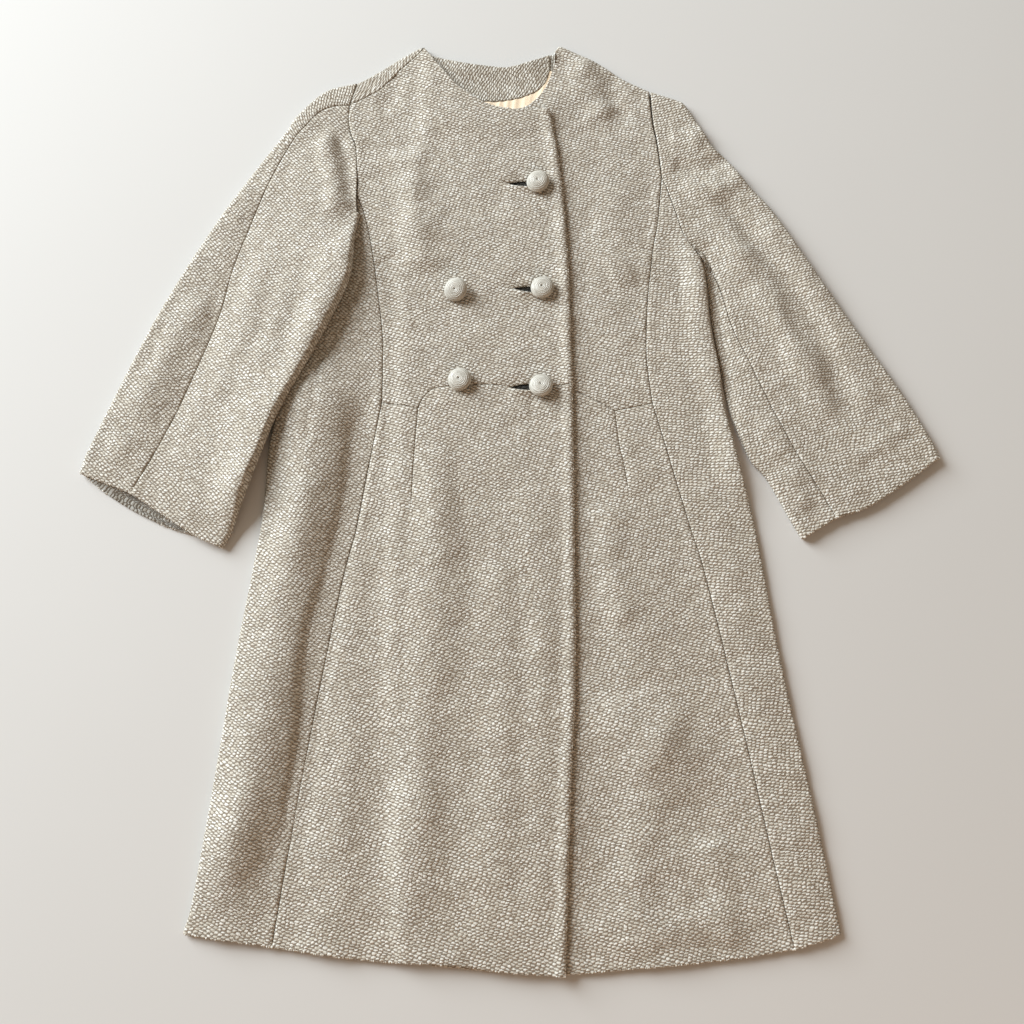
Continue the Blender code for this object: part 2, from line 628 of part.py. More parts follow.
def neck_inside(wool, satin):
    """The wool facing behind the neck and the gathered lining that shows below it."""
    upper = smooth(facing_upper, gather_steps)
    seam = smooth(facing_lower, gather_steps)
    lower = smooth(lining_lower, gather_steps)
    plan = between(upper, seam, resample(np.vstack([upper[0], seam[0]]), 2),
                   resample(np.vstack([upper[-1], seam[-1]]), 2))
    plan = trim(plan, seam_gap / 2, ["bottom"])
    low = np.full(plan.shape[:2] + (1,), cloth + seam_gap)
    inner = np.concatenate([plan, low], axis=2)
    cloth_piece("back_neck_facing", [(inner + [0, 0, facing_wall], inner)], wool)
    plan = between(seam, lower, resample(np.vstack([seam[0], lower[0]]), 2),
                   resample(np.vstack([seam[-1], lower[-1]]), 2))
    plan = trim(plan, seam_gap / 2, ["top"])
    turns = np.linspace(0, gather_count * 2 * pi, gather_steps + 1)
    gathers = gather_height / 2 * (1 - np.cos(turns))
    low = np.full(plan.shape[:2], cloth + seam_gap) + gathers
    inner = np.concatenate([plan, low[..., None]], axis=2)
    cloth_piece("lining", [(inner + [0, 0, lining_wall], inner)], satin)


def button(row, made):
    """A turned dome with a dimple on a shank, which leans more the higher it is."""
    through = "slit" in row
    face = float(lap_floor(row["x"], row["y"])) + cloth
    start = face + seam_gap
    if through:
        start = float(front_floor(row["x"], row["y"])) + cloth + seam_gap
    lean = radians((row["lean_x"] ** 2 + row["lean_y"] ** 2) ** 0.5)
    base = face - start + button_clear + button_radius * sin(lean)
    profile = [(0, 0), (shank_radius, 0), (shank_radius, base)]
    for radius, height in zip(button_section["radius"], button_section["height"]):
        profile.append((radius * button_radius, base + height * button_dome))
    sides = button_sides
    turn = np.arange(sides) * 2 * pi / sides
    # the lean is a turn about the shank's foot, whose share grows with height
    slope = np.array([-sin(radians(row["lean_x"])), -sin(radians(row["lean_y"]))])
    points = []
    for radius, height in profile:
        share = min(1.0, max(0.0, (height / base - bend_start) / (1 - bend_start)))
        flat = np.column_stack([radius * np.cos(turn), radius * np.sin(turn)])
        tilt = slope * share
        rise = -(flat @ tilt)
        above = height - base if height > base else 0.0
        place = flat + tilt * above + [row["x"], row["y"]]
        ring = np.column_stack([place, np.full(sides, start + height) + rise])
        points.append(ring.mean(axis=0)[None] if radius == 0 else ring)
    faces = []
    first = [0]
    for ring in points:
        first.append(first[-1] + len(ring))
    for k in range(len(points) - 1):
        for s in range(sides):
            t = (s + 1) % sides
            low = [first[k] + (s if len(points[k]) > 1 else 0),
                   first[k] + (t if len(points[k]) > 1 else 0)]
            high = [first[k + 1] + (t if len(points[k + 1]) > 1 else 0),
                    first[k + 1] + (s if len(points[k + 1]) > 1 else 0)]
            ring = list(dict.fromkeys(low + high))
            faces.append(tuple(ring))
    return add_object(row["name"], np.vstack(points), faces, made)


def cut_buttonhole(row, panels):
    """Cuts the slit under a button: narrow at its far end, wide round the shank."""
    half = hole_width / 2
    tip = hole_start_width / 2
    shape = {"along": [row["slit"], row["slit"] + 12, row["x"] - 3, row["x"] + 1.5,
                       row["x"] + 3],
             "half": [tip, 2.4 * tip, half, half, tip]}
    upper = [(x, row["y"] + h) for x, h in zip(shape["along"], shape["half"])]
    lower = [(x, row["y"] - h) for x, h in zip(shape["along"], shape["half"])]
    ring = upper + lower[::-1]
    n = len(ring)
    bottom = float(front_floor(row["x"], row["y"])) + cloth
    top = bottom + lap_lift + cloth
    points = [(x, y, bottom) for x, y in ring] + [(x, y, top) for x, y in ring]
    faces = [tuple(range(n)), tuple(range(n, 2 * n))]
    faces += [(k, (k + 1) % n, n + (k + 1) % n, n + k) for k in range(n)]
    cutter = add_object("cutter_" + row["name"], points, faces, panels[0].data.materials[0])
    cutter.hide_render = True
    cutter.display_type = "WIRE"
    for panel in panels:
        cut = panel.modifiers.new("buttonhole", "BOOLEAN")
        cut.operation = "DIFFERENCE"
        cut.object = cutter


def main():
    wool = material("wool", wool_color, 0.95)
    satin = material("satin", satin_color, 0.4)
    shell = material("button", button_color, 0.55)
    back(wool)
    neck_inside(wool, satin)
    bodice("front_left_bodice", left, front_floor, wool, True)
    skirt("front_left_skirt", left, front_floor, wool)
    side_front("side_front_left", left, front_floor, wool)
    lap = [bodice("front_right_bodice", right, lap_floor, wool, False),
           skirt("front_right_skirt", right, lap_floor, wool)]
    side_front("side_front_right", right, front_floor, wool)
    sleeves(wool)
    for row in buttons:
        button(row, shell)
        if "slit" in row:
            cut_buttonhole(row, lap if row["name"] == "button_waist" else lap[:1])


main()
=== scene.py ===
# The looks of a woollen coat laid flat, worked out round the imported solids.
# Sizes are in millimetres on the coat's plan: +X to the wearer's left, +Y to the neck, +Z up.
import math

import bmesh
import bpy
import numpy as np
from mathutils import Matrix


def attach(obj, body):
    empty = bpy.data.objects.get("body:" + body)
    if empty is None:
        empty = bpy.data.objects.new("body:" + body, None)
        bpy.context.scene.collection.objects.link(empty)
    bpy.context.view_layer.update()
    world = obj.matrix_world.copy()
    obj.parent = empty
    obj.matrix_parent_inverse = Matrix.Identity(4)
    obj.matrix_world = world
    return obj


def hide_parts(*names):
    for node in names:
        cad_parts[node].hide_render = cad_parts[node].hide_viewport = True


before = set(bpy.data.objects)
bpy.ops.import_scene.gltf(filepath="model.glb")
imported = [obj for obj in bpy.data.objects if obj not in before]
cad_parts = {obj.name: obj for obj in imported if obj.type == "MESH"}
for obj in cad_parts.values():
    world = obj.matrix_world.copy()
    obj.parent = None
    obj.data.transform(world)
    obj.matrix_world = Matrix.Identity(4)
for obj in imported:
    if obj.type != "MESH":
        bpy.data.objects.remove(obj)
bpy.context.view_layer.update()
mm = 0.001
planMiddle = np.array([1.5, -6.0, 0.0])    # where the plan's origin lies in the shared frame
print("frame loaded:", len(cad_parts), "solids")

build = {
    "cloth": 3.0, "facingWall": 2.0, "liningWall": 1.0, "seamGap": 0.3,
    "layerAir": 0.8, "sleeveAir": 0.5, "neckLift": 2.2, "headPuff": 0.8, "sleevePuff": 1.6,
    "puffLength": 0.3,        # share of a sleeve's length over which it fills out
    "sideFlange": 8.0, "shoulderFlange": 6.0, "shoulderTail": 8, "endBendDecay": 10,
    "cuffDrop": 9.0, "cuffDropRound": 0.7, "cuffDropFrom": (0.93, 1.0),
    "edgeRound": 1.3, "edgeNubs": 3.0, "cuffNubs": 10.0,    # nubs stand this near the named edges
    "cell": 2.8,              # about the size of a mesh cell
    "edgeLines": (0.12, 0.42, 1.3),    # extra mesh lines this far from an edge
    "edgeRoom": 0.8,          # share of a cell in which they may lie
}
cloth = build["cloth"]
lapLift = cloth + build["layerAir"]
sleeveLift = 2 * cloth + build["layerAir"] + build["sleeveAir"]
leftChest = (100, 300)    # a spot well inside the left front

# Seams and edges of the wearer's right side
right = {
    "shoulder": {"x": [-184, -151, -137, -100], "y": [426, 445, 460, 496]},
    "neck": {"x": [-100, -79, -61, -44, -29, -10, 10, 42],
             "y": [496, 469, 448, 436, 426, 420, 418, 418]},
    "armhole": {"x": [-184, -184, -180, -175, -172, -172], "y": [426, 406, 387, 374, 337, 315]},
    "underarm": {"x": [-172, -173, -186, -199], "y": [315, 291, 262, 235]},
    "princessUpper": {"x": [-172, -162, -153, -145, -139, -138, -138],
                      "y": [315, 288, 246, 194, 147, 110, 75]},
    "princessLower": {"x": [-138, -152, -161, -176, -205, -228],
                      "y": [75, -5, -60, -128, -301, -465]},
    "frontUpper": {"x": [42, 46, 52, 59, 62, 64], "y": [418, 395, 354, 274, 202, 94]},
    "frontLower": {"x": [64, 64, 63, 58, 50], "y": [94, -52, -215, -307, -490]},
    "pocketTop": {"x": [-138, -99], "y": [75, 68]},
    "waistCorner": {"x": [-99, -94, -84, -70], "y": [68, 79, 89, 92]},
    "waist": {"x": [-70, -29, 19, 64], "y": [92, 94, 91, 94]},
    "pocketLine": {"x": [-99, -102, -104, -109, -124], "y": [68, 22, -31, -220, -478]},
    "hemPocket": {"x": [-228, -152, -124], "y": [-465, -475, -478]},
    "hemFront": {"x": [-124, -61, -1, 50], "y": [-478, -480, -487, -490]},
    "hemSide": {"x": [-314, -228], "y": [-453, -465]},
    "bodyEdge": {"x": [-199, -223, -241, -255, -258, -266, -277, -290, -306, -314],
                 "y": [235, 156, 89, 33, -40, -105, -183, -291, -419, -453]},
    "pocketEnd": -31,
}

# The wearer's left side, whose front edge lies hidden under the lap
left = {
    "shoulder": {"x": [157, 127, 97, 55], "y": [444, 460, 481, 502]},
    "neck": {"x": [55, 50, 48, 40, 25, 8, -30, -68],
             "y": [502, 494, 478, 452, 431, 421, 417, 415]},
    "armhole": {"x": [157, 158, 160, 163, 166, 167], "y": [444, 422, 399, 381, 349, 337]},
    "underarm": {"x": [167, 172, 180, 190, 205.5], "y": [337, 322, 296, 266, 246]},
    "princessUpper": {"x": [167, 161, 154, 147, 144, 146, 149],
                      "y": [337, 284, 246, 189, 135, 100, 74]},
    "princessLower": {"x": [149, 160, 182, 198, 229, 254, 268],
                      "y": [74, 33, -52, -111, -264, -396, -467]},
    "frontUpper": {"x": [-68, -72, -78, -85, -88, -90], "y": [415, 395, 354, 274, 202, 94]},
    "frontLower": {"x": [-90, -90, -89, -84, -76], "y": [94, -52, -215, -307, -481]},
    "pocketTop": {"x": [149, 109], "y": [74, 66]},
    "waistCorner": {"x": [109, 86, 64], "y": [66, 79, 90]},
    "waist": {"x": [64, 20, -30, -90], "y": [90, 94, 95, 94]},
    "pocketLine": {"x": [109, 113, 120, 145, 175], "y": [66, 27, -12, -220, -479]},
    "hemPocket": {"x": [268, 215, 175], "y": [-467, -475, -479]},
    "hemFront": {"x": [175, 105, 50, -10, -76], "y": [-479, -485, -489, -487, -481]},
    "hemSide": {"x": [314, 268], "y": [-454, -467]},
    "bodyEdge": {"x": [205.5, 210.5, 212, 214, 222, 225, 237, 252, 271, 295, 314],
                 "y": [244, 223, 200, 164, 112, 74, 14, -62, -198, -337, -454]},
    "pocketEnd": -12,
}


def points(table):
    # A table's points, one a row
    return np.column_stack([table["x"], table["y"]]).astype(float)


def runAlong(line):
    # Length along a line of points, from 0 at its start
    return np.concatenate([[0.0], np.cumsum(np.linalg.norm(np.diff(line, axis=0), axis=1))])


def respace(line, count):
    # The same line in even steps of its length
    run = runAlong(line)
    at = np.linspace(0.0, run[-1], count + 1)
    return np.column_stack([np.interp(at, run, line[:, k]) for k in range(line.shape[1])])


def curve(table, count):
    # Catmull-Rom: every span is a cubic through its two points, with its neighbours' slopes
    dots = points(table)
    dots = np.vstack([2 * dots[0] - dots[1], dots, 2 * dots[-1] - dots[-2]])
    a, b, c, d = (dots[k:len(dots) - 3 + k][:, None] for k in range(4))
    s = np.linspace(0.0, 1.0, 24, endpoint=False)[None, :, None]
    cubic = (3 * b - a - 3 * c + d) * s ** 3 + (2 * a - 5 * b + 4 * c - d) * s ** 2
    spans = 0.5 * (2 * b + (c - a) * s + cubic)
    return respace(np.vstack([spans.reshape(-1, 2), dots[-2:-1]]), count)


def join(*lines):
    # One line from lines that follow each other, with their shared points once
    return np.vstack([lines[0]] + [line[1:] for line in lines[1:]])


def share(line):
    # Length along a line as a share of the whole
    run = runAlong(line)
    return run / run[-1]


def between(top, bottom, start, end, decay=1):
    # Straight rows from start to end, plus the bends of top and bottom, which fade with decay
    u = (0.5 * (share(top) + share(bottom)))[None, :, None]
    v = (0.5 * (share(start) + share(end)))[:, None, None]
    rows = (1 - u) * start[:, None] + u * end[:, None]
    return rows + (1 - v) ** decay * (top - rows[0]) + v ** decay * (bottom - rows[-1])


def trim(plan, amount, sides):
    # Draws the named sides in towards the lines next to them
    plan = plan.copy()
    views = {"top": (plan[0], plan[1]), "bottom": (plan[-1], plan[-2]),
             "start": (plan[:, 0], plan[:, 1]), "end": (plan[:, -1], plan[:, -2])}
    for side in sides:
        edge, inner = views[side]
        way = inner - edge
        edge += amount * way / np.linalg.norm(way, axis=1)[:, None]
    return plan


def endAt(line, spot):
    # Moves the end of a line to a spot, and its last part along with it
    return line + (spot - line[-1]) * share(line)[:, None] ** 6


def ease(low, high, value):
    # 0 below low, 1 above high, 3t^2 - 2t^3 between
    t = np.clip((value - low) / (high - low), 0.0, 1.0)
    return t * t * (3 - 2 * t)


def inward(edge, toward):
    # Unit vectors square to an edge, on its side where the point toward lies
    along = np.gradient(edge, axis=0)
    square = np.column_stack([along[:, 1], -along[:, 0]])
    square /= np.linalg.norm(square, axis=1)[:, None]
    return square * np.sign(np.sum(square * (np.asarray(toward) - edge), axis=1))[:, None]


def addLines(plan, ends, axis):
    # Places of the mesh lines on one axis, as fractions of a cell, with extra ones at its ends
    along = np.moveaxis(plan, axis, 0)
    first = np.linalg.norm(along[1] - along[0], axis=-1).mean()
    last = np.linalg.norm(along[-1] - along[-2], axis=-1).mean()
    count = len(along) - 1
    places = [np.arange(count + 1.0)]
    extra = np.array(build["edgeLines"])
    if ends[0]:
        places.append(extra[extra < build["edgeRoom"] * first] / first)
    if ends[1]:
        places.append(count - extra[extra < build["edgeRoom"] * last] / last)
    return np.unique(np.concatenate(places))


def readAt(values, places):
    # Values between the lines of an array's first axis
    low = np.minimum(places.astype(int), len(values) - 2)
    part = (places - low).reshape((-1,) + (1,) * (values.ndim - 1))
    return values[low] * (1 - part) + values[low + 1] * part


def refine(plan, rows, columns):
    # The plan read at the named rows and columns, which may lie between its own
    return np.swapaxes(readAt(np.swapaxes(readAt(plan, rows), 0, 1), columns), 0, 1)


def nearLine(x, y, path):
    # Distance of points to a path, signed by its side, and how far along it they lie, 0 to 1
    path = np.asarray(path, float)
    step = np.diff(path, axis=0)
    length = np.linalg.norm(step, axis=1)
    px = np.ravel(x)[:, None] - path[:-1, 0]
    py = np.ravel(y)[:, None] - path[:-1, 1]
    t = np.clip((px * step[:, 0] + py * step[:, 1]) / length ** 2, 0.0, 1.0)
    gap = np.hypot(px - t * step[:, 0], py - t * step[:, 1])
    k = np.argmin(gap, axis=1)
    pick = np.arange(len(k))
    run = np.concatenate([[0.0], np.cumsum(length)])
    along = (run[k] + t[pick, k] * length[k]) / run[-1]
    side = np.sign(px[pick, k] * step[k, 1] - py[pick, k] * step[k, 0])
    shape = np.shape(x)
    return (gap[pick, k] * side).reshape(shape), along.reshape(shape)


waveForm = {"count": 9, "sizes": (0.7, 1.7)}


def waves(x, y, size, seed):
    # Sum of plane waves in seeded directions, each about size long, over the root of their count
    draw = np.random.default_rng(seed)
    total = np.zeros(np.shape(x))
    for k in range(waveForm["count"]):
        turn = draw.uniform(0.0, 2 * math.pi)
        pitch = 2 * math.pi / (size * draw.uniform(*waveForm["sizes"]))
        phase = draw.uniform(0.0, 2 * math.pi)
        total += np.sin((x * math.cos(turn) + y * math.sin(turn)) * pitch + phase)
    return total / math.sqrt(waveForm["count"])


# Creases of the cloth by area: crest or trough along a path, height above or below the rest
creases = {
    "body": [
        {"path": [(-192, 150), (-208, 90), (-212, 0), (-224, -90), (-243, -190), (-254, -290),
                  (-273, -385), (-290, -450)], "half": 52, "height": 10.8},
        {"path": [(-160, 90), (-163, -4), (-177, -90), (-196, -185), (-204, -285), (-216, -400)],
         "half": 20, "height": -8.8},
        {"path": [(-138, -60), (-140, -150), (-143, -260), (-141, -400)], "half": 26, "height": -2.0},
        {"path": [(-86, 60), (-78, -60), (-80, -160), (-86, -250), (-92, -360), (-98, -480)],
         "half": 36, "height": 4.6},
        {"path": [(-20, -60), (-10, -220), (-16, -380), (-22, -480)], "half": 32, "height": 2.0},
        {"path": [(20, 20), (30, -160), (26, -330), (24, -480)], "half": 26, "height": 1.8},
        {"path": [(98, -30), (104, -120), (116, -170)], "half": 26, "height": 2.6},
        {"path": [(50, -235), (110, -258), (166, -285), (214, -300)],
         "half": 50, "height": 5.6, "fade": 0.42},
        {"path": [(120, -360), (176, -352), (236, -372)], "half": 36, "height": -2.4, "fade": 0.3},
        {"path": [(184, 276), (196, 246), (201, 222), (204, 190), (208, 150), (214, 105), (222, 60),
                  (232, 10), (246, -50)], "half": 25, "height": 5.4},
        {"path": [(60, -452), (140, -450), (226, -430)], "half": 24, "height": 2.4},
        {"path": [(128, -340), (120, -400), (114, -480)], "half": 30, "height": 2.4},
        {"path": [(190, -360), (200, -410), (206, -470)], "half": 28, "height": 2.4},
        {"path": [(-124, 376), (-116, 330), (-104, 270), (-92, 215)], "half": 30, "height": 5.0},
        {"path": [(-82, 318), (-78, 270), (-74, 225)], "half": 18, "height": 1.2},
        {"path": [(80, 490), (86, 446), (108, 404)], "half": 26, "height": 3.0},
        {"path": [(112, 470), (116, 432), (128, 396)], "half": 16, "height": -1.8},
        {"path": [(104, 216), (122, 228), (152, 244)], "half": 30, "height": 2.6},
        {"path": [(-128, 470), (-134, 440), (-150, 415)], "half": 16, "height": -1.8},
        {"path": [(-60, 110), (-20, 104), (14, 108)], "half": 14, "height": 1.1},
        {"path": [(20, 82), (21, 70), (20, 58)], "half": 5, "height": -1.0},
        {"path": [(-214, 20), (-209, 78), (-204, 140)], "half": 6, "height": -1.5},
    ],
    "sleeveRight": [
        {"path": [(-184, 280), (-192, 226), (-210, 170), (-240, 96), (-264, 30), (-294, -60)],
         "half": 34, "height": 6.8},
        {"path": [(-226, 240), (-250, 155), (-283, 55), (-307, -60)], "half": 26, "height": 2.6},
        {"path": [(-196, 398), (-188, 362), (-182, 330), (-180, 300)], "half": 12, "height": -3.0},
        {"path": [(-212, 396), (-203, 356), (-196, 320), (-192, 280)], "half": 18, "height": 4.0},
        {"path": [(-276, 320), (-306, 211), (-330, 130), (-356, 60), (-384, -20)],
         "half": 20, "height": -2.2},
        {"path": [(-330, 210), (-366, 130), (-398, 60), (-420, 0)], "half": 24, "height": 2.6},
        {"path": [(-262, 250), (-290, 150), (-318, 60)], "half": 22, "height": 1.8},
    ],
    "sleeveLeft": [
        {"path": [(176, 352), (204, 346), (226, 352), (246, 366)], "half": 15, "height": -2.8},
        {"path": [(176, 386), (200, 384), (222, 396)], "half": 20, "height": 3.0},
        {"path": [(186, 330), (214, 318), (240, 326), (262, 344)], "half": 18, "height": 3.4},
        {"path": [(205, 325), (238, 300), (276, 248), (310, 192), (338, 130), (354, 66), (362, 30)],
         "half": 18, "height": -2.6},
        {"path": [(226, 272), (258, 226), (288, 164), (318, 100), (334, 50)],
         "half": 24, "height": 4.8},
        {"path": [(262, 300), (302, 246), (338, 184), (364, 124), (384, 60)],
         "half": 24, "height": 2.8},
        {"path": [(262, 60), (286, 10), (306, -46)], "half": 20, "height": 2.0},
        {"path": [(352, 10), (384, 28), (420, 50)], "half": 14, "height": 1.6},
        {"path": [(204, 248), (213, 215), (217, 170), (224, 110), (229, 76), (240, 30)],
         "half": 12, "height": -2.6},
    ],
    "under": [
        {"path": [(-150, 300), (-170, 60), (-210, -260), (-230, -440)], "half": 30, "height": 1.4},
        {"path": [(-40, 200), (-30, -60), (-52, -300), (-60, -470)], "half": 34, "height": 1.2},
        {"path": [(60, 320), (84, 60), (110, -200), (130, -460)], "half": 28, "height": 1.4},
        {"path": [(170, 100), (200, -120), (236, -420)], "half": 26, "height": 1.2},
        {"path": [(-90, 420), (0, 395), (90, 418)], "half": 22, "height": 1.0},
    ],
}
creaseForm = {
    "points": 24, "fade": 0.16,
    "swells": [(0.22, 9, 2.1), (0.14, 23, 1)],    # height, pitch and shift of its unevenness
    "spread": 0.16, "spreadPitch": 13,
}


def creaseHeight(x, y, rows):
    # Each crease is half a cosine across, with an uneven width and height, and fades at its ends
    total = np.zeros(np.shape(x))
    for k, row in enumerate(rows):
        path = np.array(row["path"], float)
        smoothPath = curve({"x": path[:, 0], "y": path[:, 1]}, creaseForm["points"])
        gap, along = nearLine(x, y, smoothPath)
        uneven = 1.0
        for high, pitch, shift in creaseForm["swells"]:
            uneven = uneven + high * np.sin(along * pitch + k * shift)
        spread = 1 + creaseForm["spread"] * np.sin(along * creaseForm["spreadPitch"] + k)
        across = np.clip(np.abs(gap) / (row["half"] * spread), 0.0, 1.0)
        fade = row.get("fade", creaseForm["fade"])
        ends = ease(0.0, fade, along) * ease(1.0, 1.0 - fade, along)
        total += row["height"] * uneven * ends * 0.5 * (1 + np.cos(math.pi * across))
    return total


# The left front's edge that the lap hides, and the right side's outline
hiddenEdge = join(curve(left["frontUpper"], 12), curve(left["frontLower"], 12))
rightEdge = join(curve(right["underarm"], 8), curve(right["bodyEdge"], 20))

# Soft ridges that the solids have too: start, end, half width and height
ridges = [
    {"from": (-190, 60), "to": (-268, -440), "half": 48, "height": 2.4},
    {"from": (-120, -60), "to": (-176, -465), "half": 42, "height": 2.8},
    {"from": (118, -20), "to": (148, -470), "half": 50, "height": 2.0},
    {"from": (196, 20), "to": (284, -450), "half": 34, "height": 1.8},
    {"from": (-152, 360), "to": (-118, 170), "half": 34, "height": 2.6},
    {"from": (118, 330), "to": (96, 190), "half": 38, "height": 2.2},
]
ridgeForm = {"reach": (-0.4, 1.4), "start": (-0.3, 0.4), "end": (0.6, 1.3), "hemBelow": -300}

# Where a layer rides over another: an oval lift round the neck, the ridges outside the lap,
# the lap's rise next to the hidden edge, and the right sleeve's climb on the side
layering = {
    "neck": {"x": -22, "y": 480, "halfX": 78, "halfY": 62, "fade": (1.3, 1.7)},
    "ridgesRight": (-105, -125), "ridgesLeft": (75, 95),
    "lapRise": (45, 22),
    "sleeveAcross": (-115, -26), "sleeveHead": (400, 295), "sleeveCuff": (-85, 15),
}


def edgeX(line, y):
    # The place across where a line that runs down crosses the height y
    return np.interp(y, line[::-1, 1], line[::-1, 0])


def ridgeHeight(x, y):
    # Half a cosine across each ridge, which fades at its start, and at its end above the hem
    total = np.zeros(np.shape(x))
    for ridge in ridges:
        (x0, y0), (x1, y1) = ridge["from"], ridge["to"]
        along = np.clip((y0 - y) / (y0 - y1), *ridgeForm["reach"])
        across = np.clip(np.abs(x - x0 - along * (x1 - x0)) / ridge["half"], 0.0, 1.0)
        ends = ease(*ridgeForm["start"], along)
        if y1 > ridgeForm["hemBelow"]:
            ends = ends * (1 - ease(*ridgeForm["end"], along))
        total += ridge["height"] * ends * 0.5 * (1 + np.cos(math.pi * across))
    return total


def frontFloor(x, y):
    # The fronts lie on the back, ride over the neck facing, and have ridges outside the lap
    oval = layering["neck"]
    roundNeck = np.hypot((x - oval["x"]) / oval["halfX"], (y - oval["y"]) / oval["halfY"])
    lift = build["neckLift"] * (1 - ease(*oval["fade"], roundNeck))
    outside = ease(*layering["ridgesRight"], x) + ease(*layering["ridgesLeft"], x)
    return cloth + build["layerAir"] + lift + ridgeHeight(x, y) * np.clip(outside, 0, 1)


def lapFloor(x, y):
    # The right front rises over the left one
    low, high = layering["lapRise"]
    start = edgeX(hiddenEdge, y)
    return frontFloor(x, y) + lapLift * ease(start - low, start - high, x)


def rightSleeveFloor(x, y):
    # The right sleeve lies on the surface, and climbs on the coat's side
    nearSide = ease(*layering["sleeveAcross"], x - edgeX(rightEdge, y))
    ends = ease(*layering["sleeveHead"], y) * ease(*layering["sleeveCuff"], y)
    return sleeveLift * nearSide * ends


def flatFloor(x, y):
    # The left sleeve lies on the surface everywhere
    return np.zeros(np.shape(x))


def atHeight(plan, level):
    # Points of the plan at one height, or each at its own
    return np.concatenate([plan, np.broadcast_to(level, plan.shape[:-1])[..., None]], axis=-1)


def faceOn(plan, floor):
    # The face of a cloth that lies on a floor, with its plan
    return atHeight(plan, floor(plan[..., 0], plan[..., 1]) + cloth), plan


foldAngles = np.radians(np.arange(75, -91, -15))


def foldPoints(tangent, way, rest, height, flange):
    # Half a round of radius height / 2 from the tangent line, then a flat strip underneath
    radius = (height / 2)[:, None]
    edge = tangent - way * radius
    middle = (rest + height / 2)[:, None]
    solid = edge[:, None] + way[:, None] * (radius - radius * np.cos(foldAngles))[..., None]
    outer = atHeight(solid, middle + radius * np.sin(foldAngles))
    arc = radius * (math.pi / 2 - foldAngles)
    flat = tangent[:, None] - way[:, None] * arc[..., None]
    if flange:
        reach = np.linspace(0.0, flange, 5)[1:]
        strip = (edge + way * radius)[:, None] + way[:, None] * reach[None, :, None]
        outer = np.concatenate([outer, atHeight(strip, rest[:, None])], axis=1)
        more = flat[:, -1:] - way[:, None] * reach[None, :, None]
        flat = np.concatenate([flat, more], axis=1)
    return outer, flat


def beside(first, second):
    # Joins two pairs of grids, solid and flat, side by side
    return tuple(np.concatenate(pair, axis=1) for pair in zip(first, second))


clothForm = {
    "ripples": [(0.35, 42, 5), (0.16, 17, 6)],    # height, size and seed of small waves
    "airBelow": {"sleeve": 3.0, "body": 0.4},     # what a trough may use
    "thinnest": 0.6,                              # share of the wall that a trough may press away
    "chunk": 2000,                                # points measured at a time
    "far": 99.0,                                  # more than any distance that counts
}


def shapeCloth(grids, up, folds, wall):
    # Joins grids of points into one open sheet, and works out its creases and how far its rim
    # sinks: half a wall's thickness times 1 - sqrt(1 - t^2), t being 1 on the rim
    spots = np.concatenate([outer.reshape(-1, 3) for outer, flat in grids])
    flats = np.concatenate([flat.reshape(-1, 2) for outer, flat in grids])
    quads = []
    first = 0
    for outer, flat in grids:
        rows, columns = outer.shape[:2]
        index = first + np.arange(rows * columns).reshape(rows, columns)
        quads.append(np.stack([index[:-1, :-1], index[:-1, 1:], index[1:, 1:], index[1:, :-1]],
                              axis=-1).reshape(-1, 4))
        first += rows * columns
    quads = np.concatenate(quads)
    keep, same = np.unique(np.round(spots, 2), axis=0, return_index=True, return_inverse=True)[1:]
    spots = spots[keep]
    corners = same.reshape(-1)[quads]
    cornerFlats = flats[quads]
    rows, columns = grids[0][0].shape[:2]
    known = rows // 2 * (columns - 1) + 2    # a face in the first grid's middle
    normals, corners, cornerFlats = faceOutward(spots, corners, cornerFlats, known, up)
    upness = np.clip(normals[:, 2] * (1 if up else -1), 0.0, 1.0)
    detail = creaseHeight(spots[:, 0], spots[:, 1], creases.get(folds, []))
    if up and folds in creases:
        for high, size, seed in clothForm["ripples"]:
            detail += high * waves(spots[:, 0], spots[:, 1], size, seed)
    detail *= upness
    lines, times = np.unique(faceLines(corners), axis=0, return_counts=True)
    rim = np.unique(lines[times == 1])
    onRim = np.zeros(len(spots), bool)
    onRim[rim] = True
    toRim = np.full(len(spots), clothForm["far"])
    for part in np.array_split(np.arange(len(spots)), max(1, len(spots) // clothForm["chunk"])):
        gap = spots[part][:, None] - spots[rim][None]
        toRim[part] = np.sqrt((gap ** 2).sum(-1).min(1))
    over = np.clip(1 - toRim / build["edgeRound"], 0.0, 1.0)
    sink = wall / 2 * (1 - np.sqrt(1 - over ** 2))
    return {"spots": spots, "normals": normals, "corners": corners, "flats": cornerFlats,
            "detail": detail, "onRim": onRim, "sink": sink, "rimEdges": lines[times == 1]}


def faceLines(corners):
    # The four edges of each face, with the lower index first
    return np.sort(np.concatenate([corners[:, [k, (k + 1) % 4]] for k in range(4)]), axis=1)


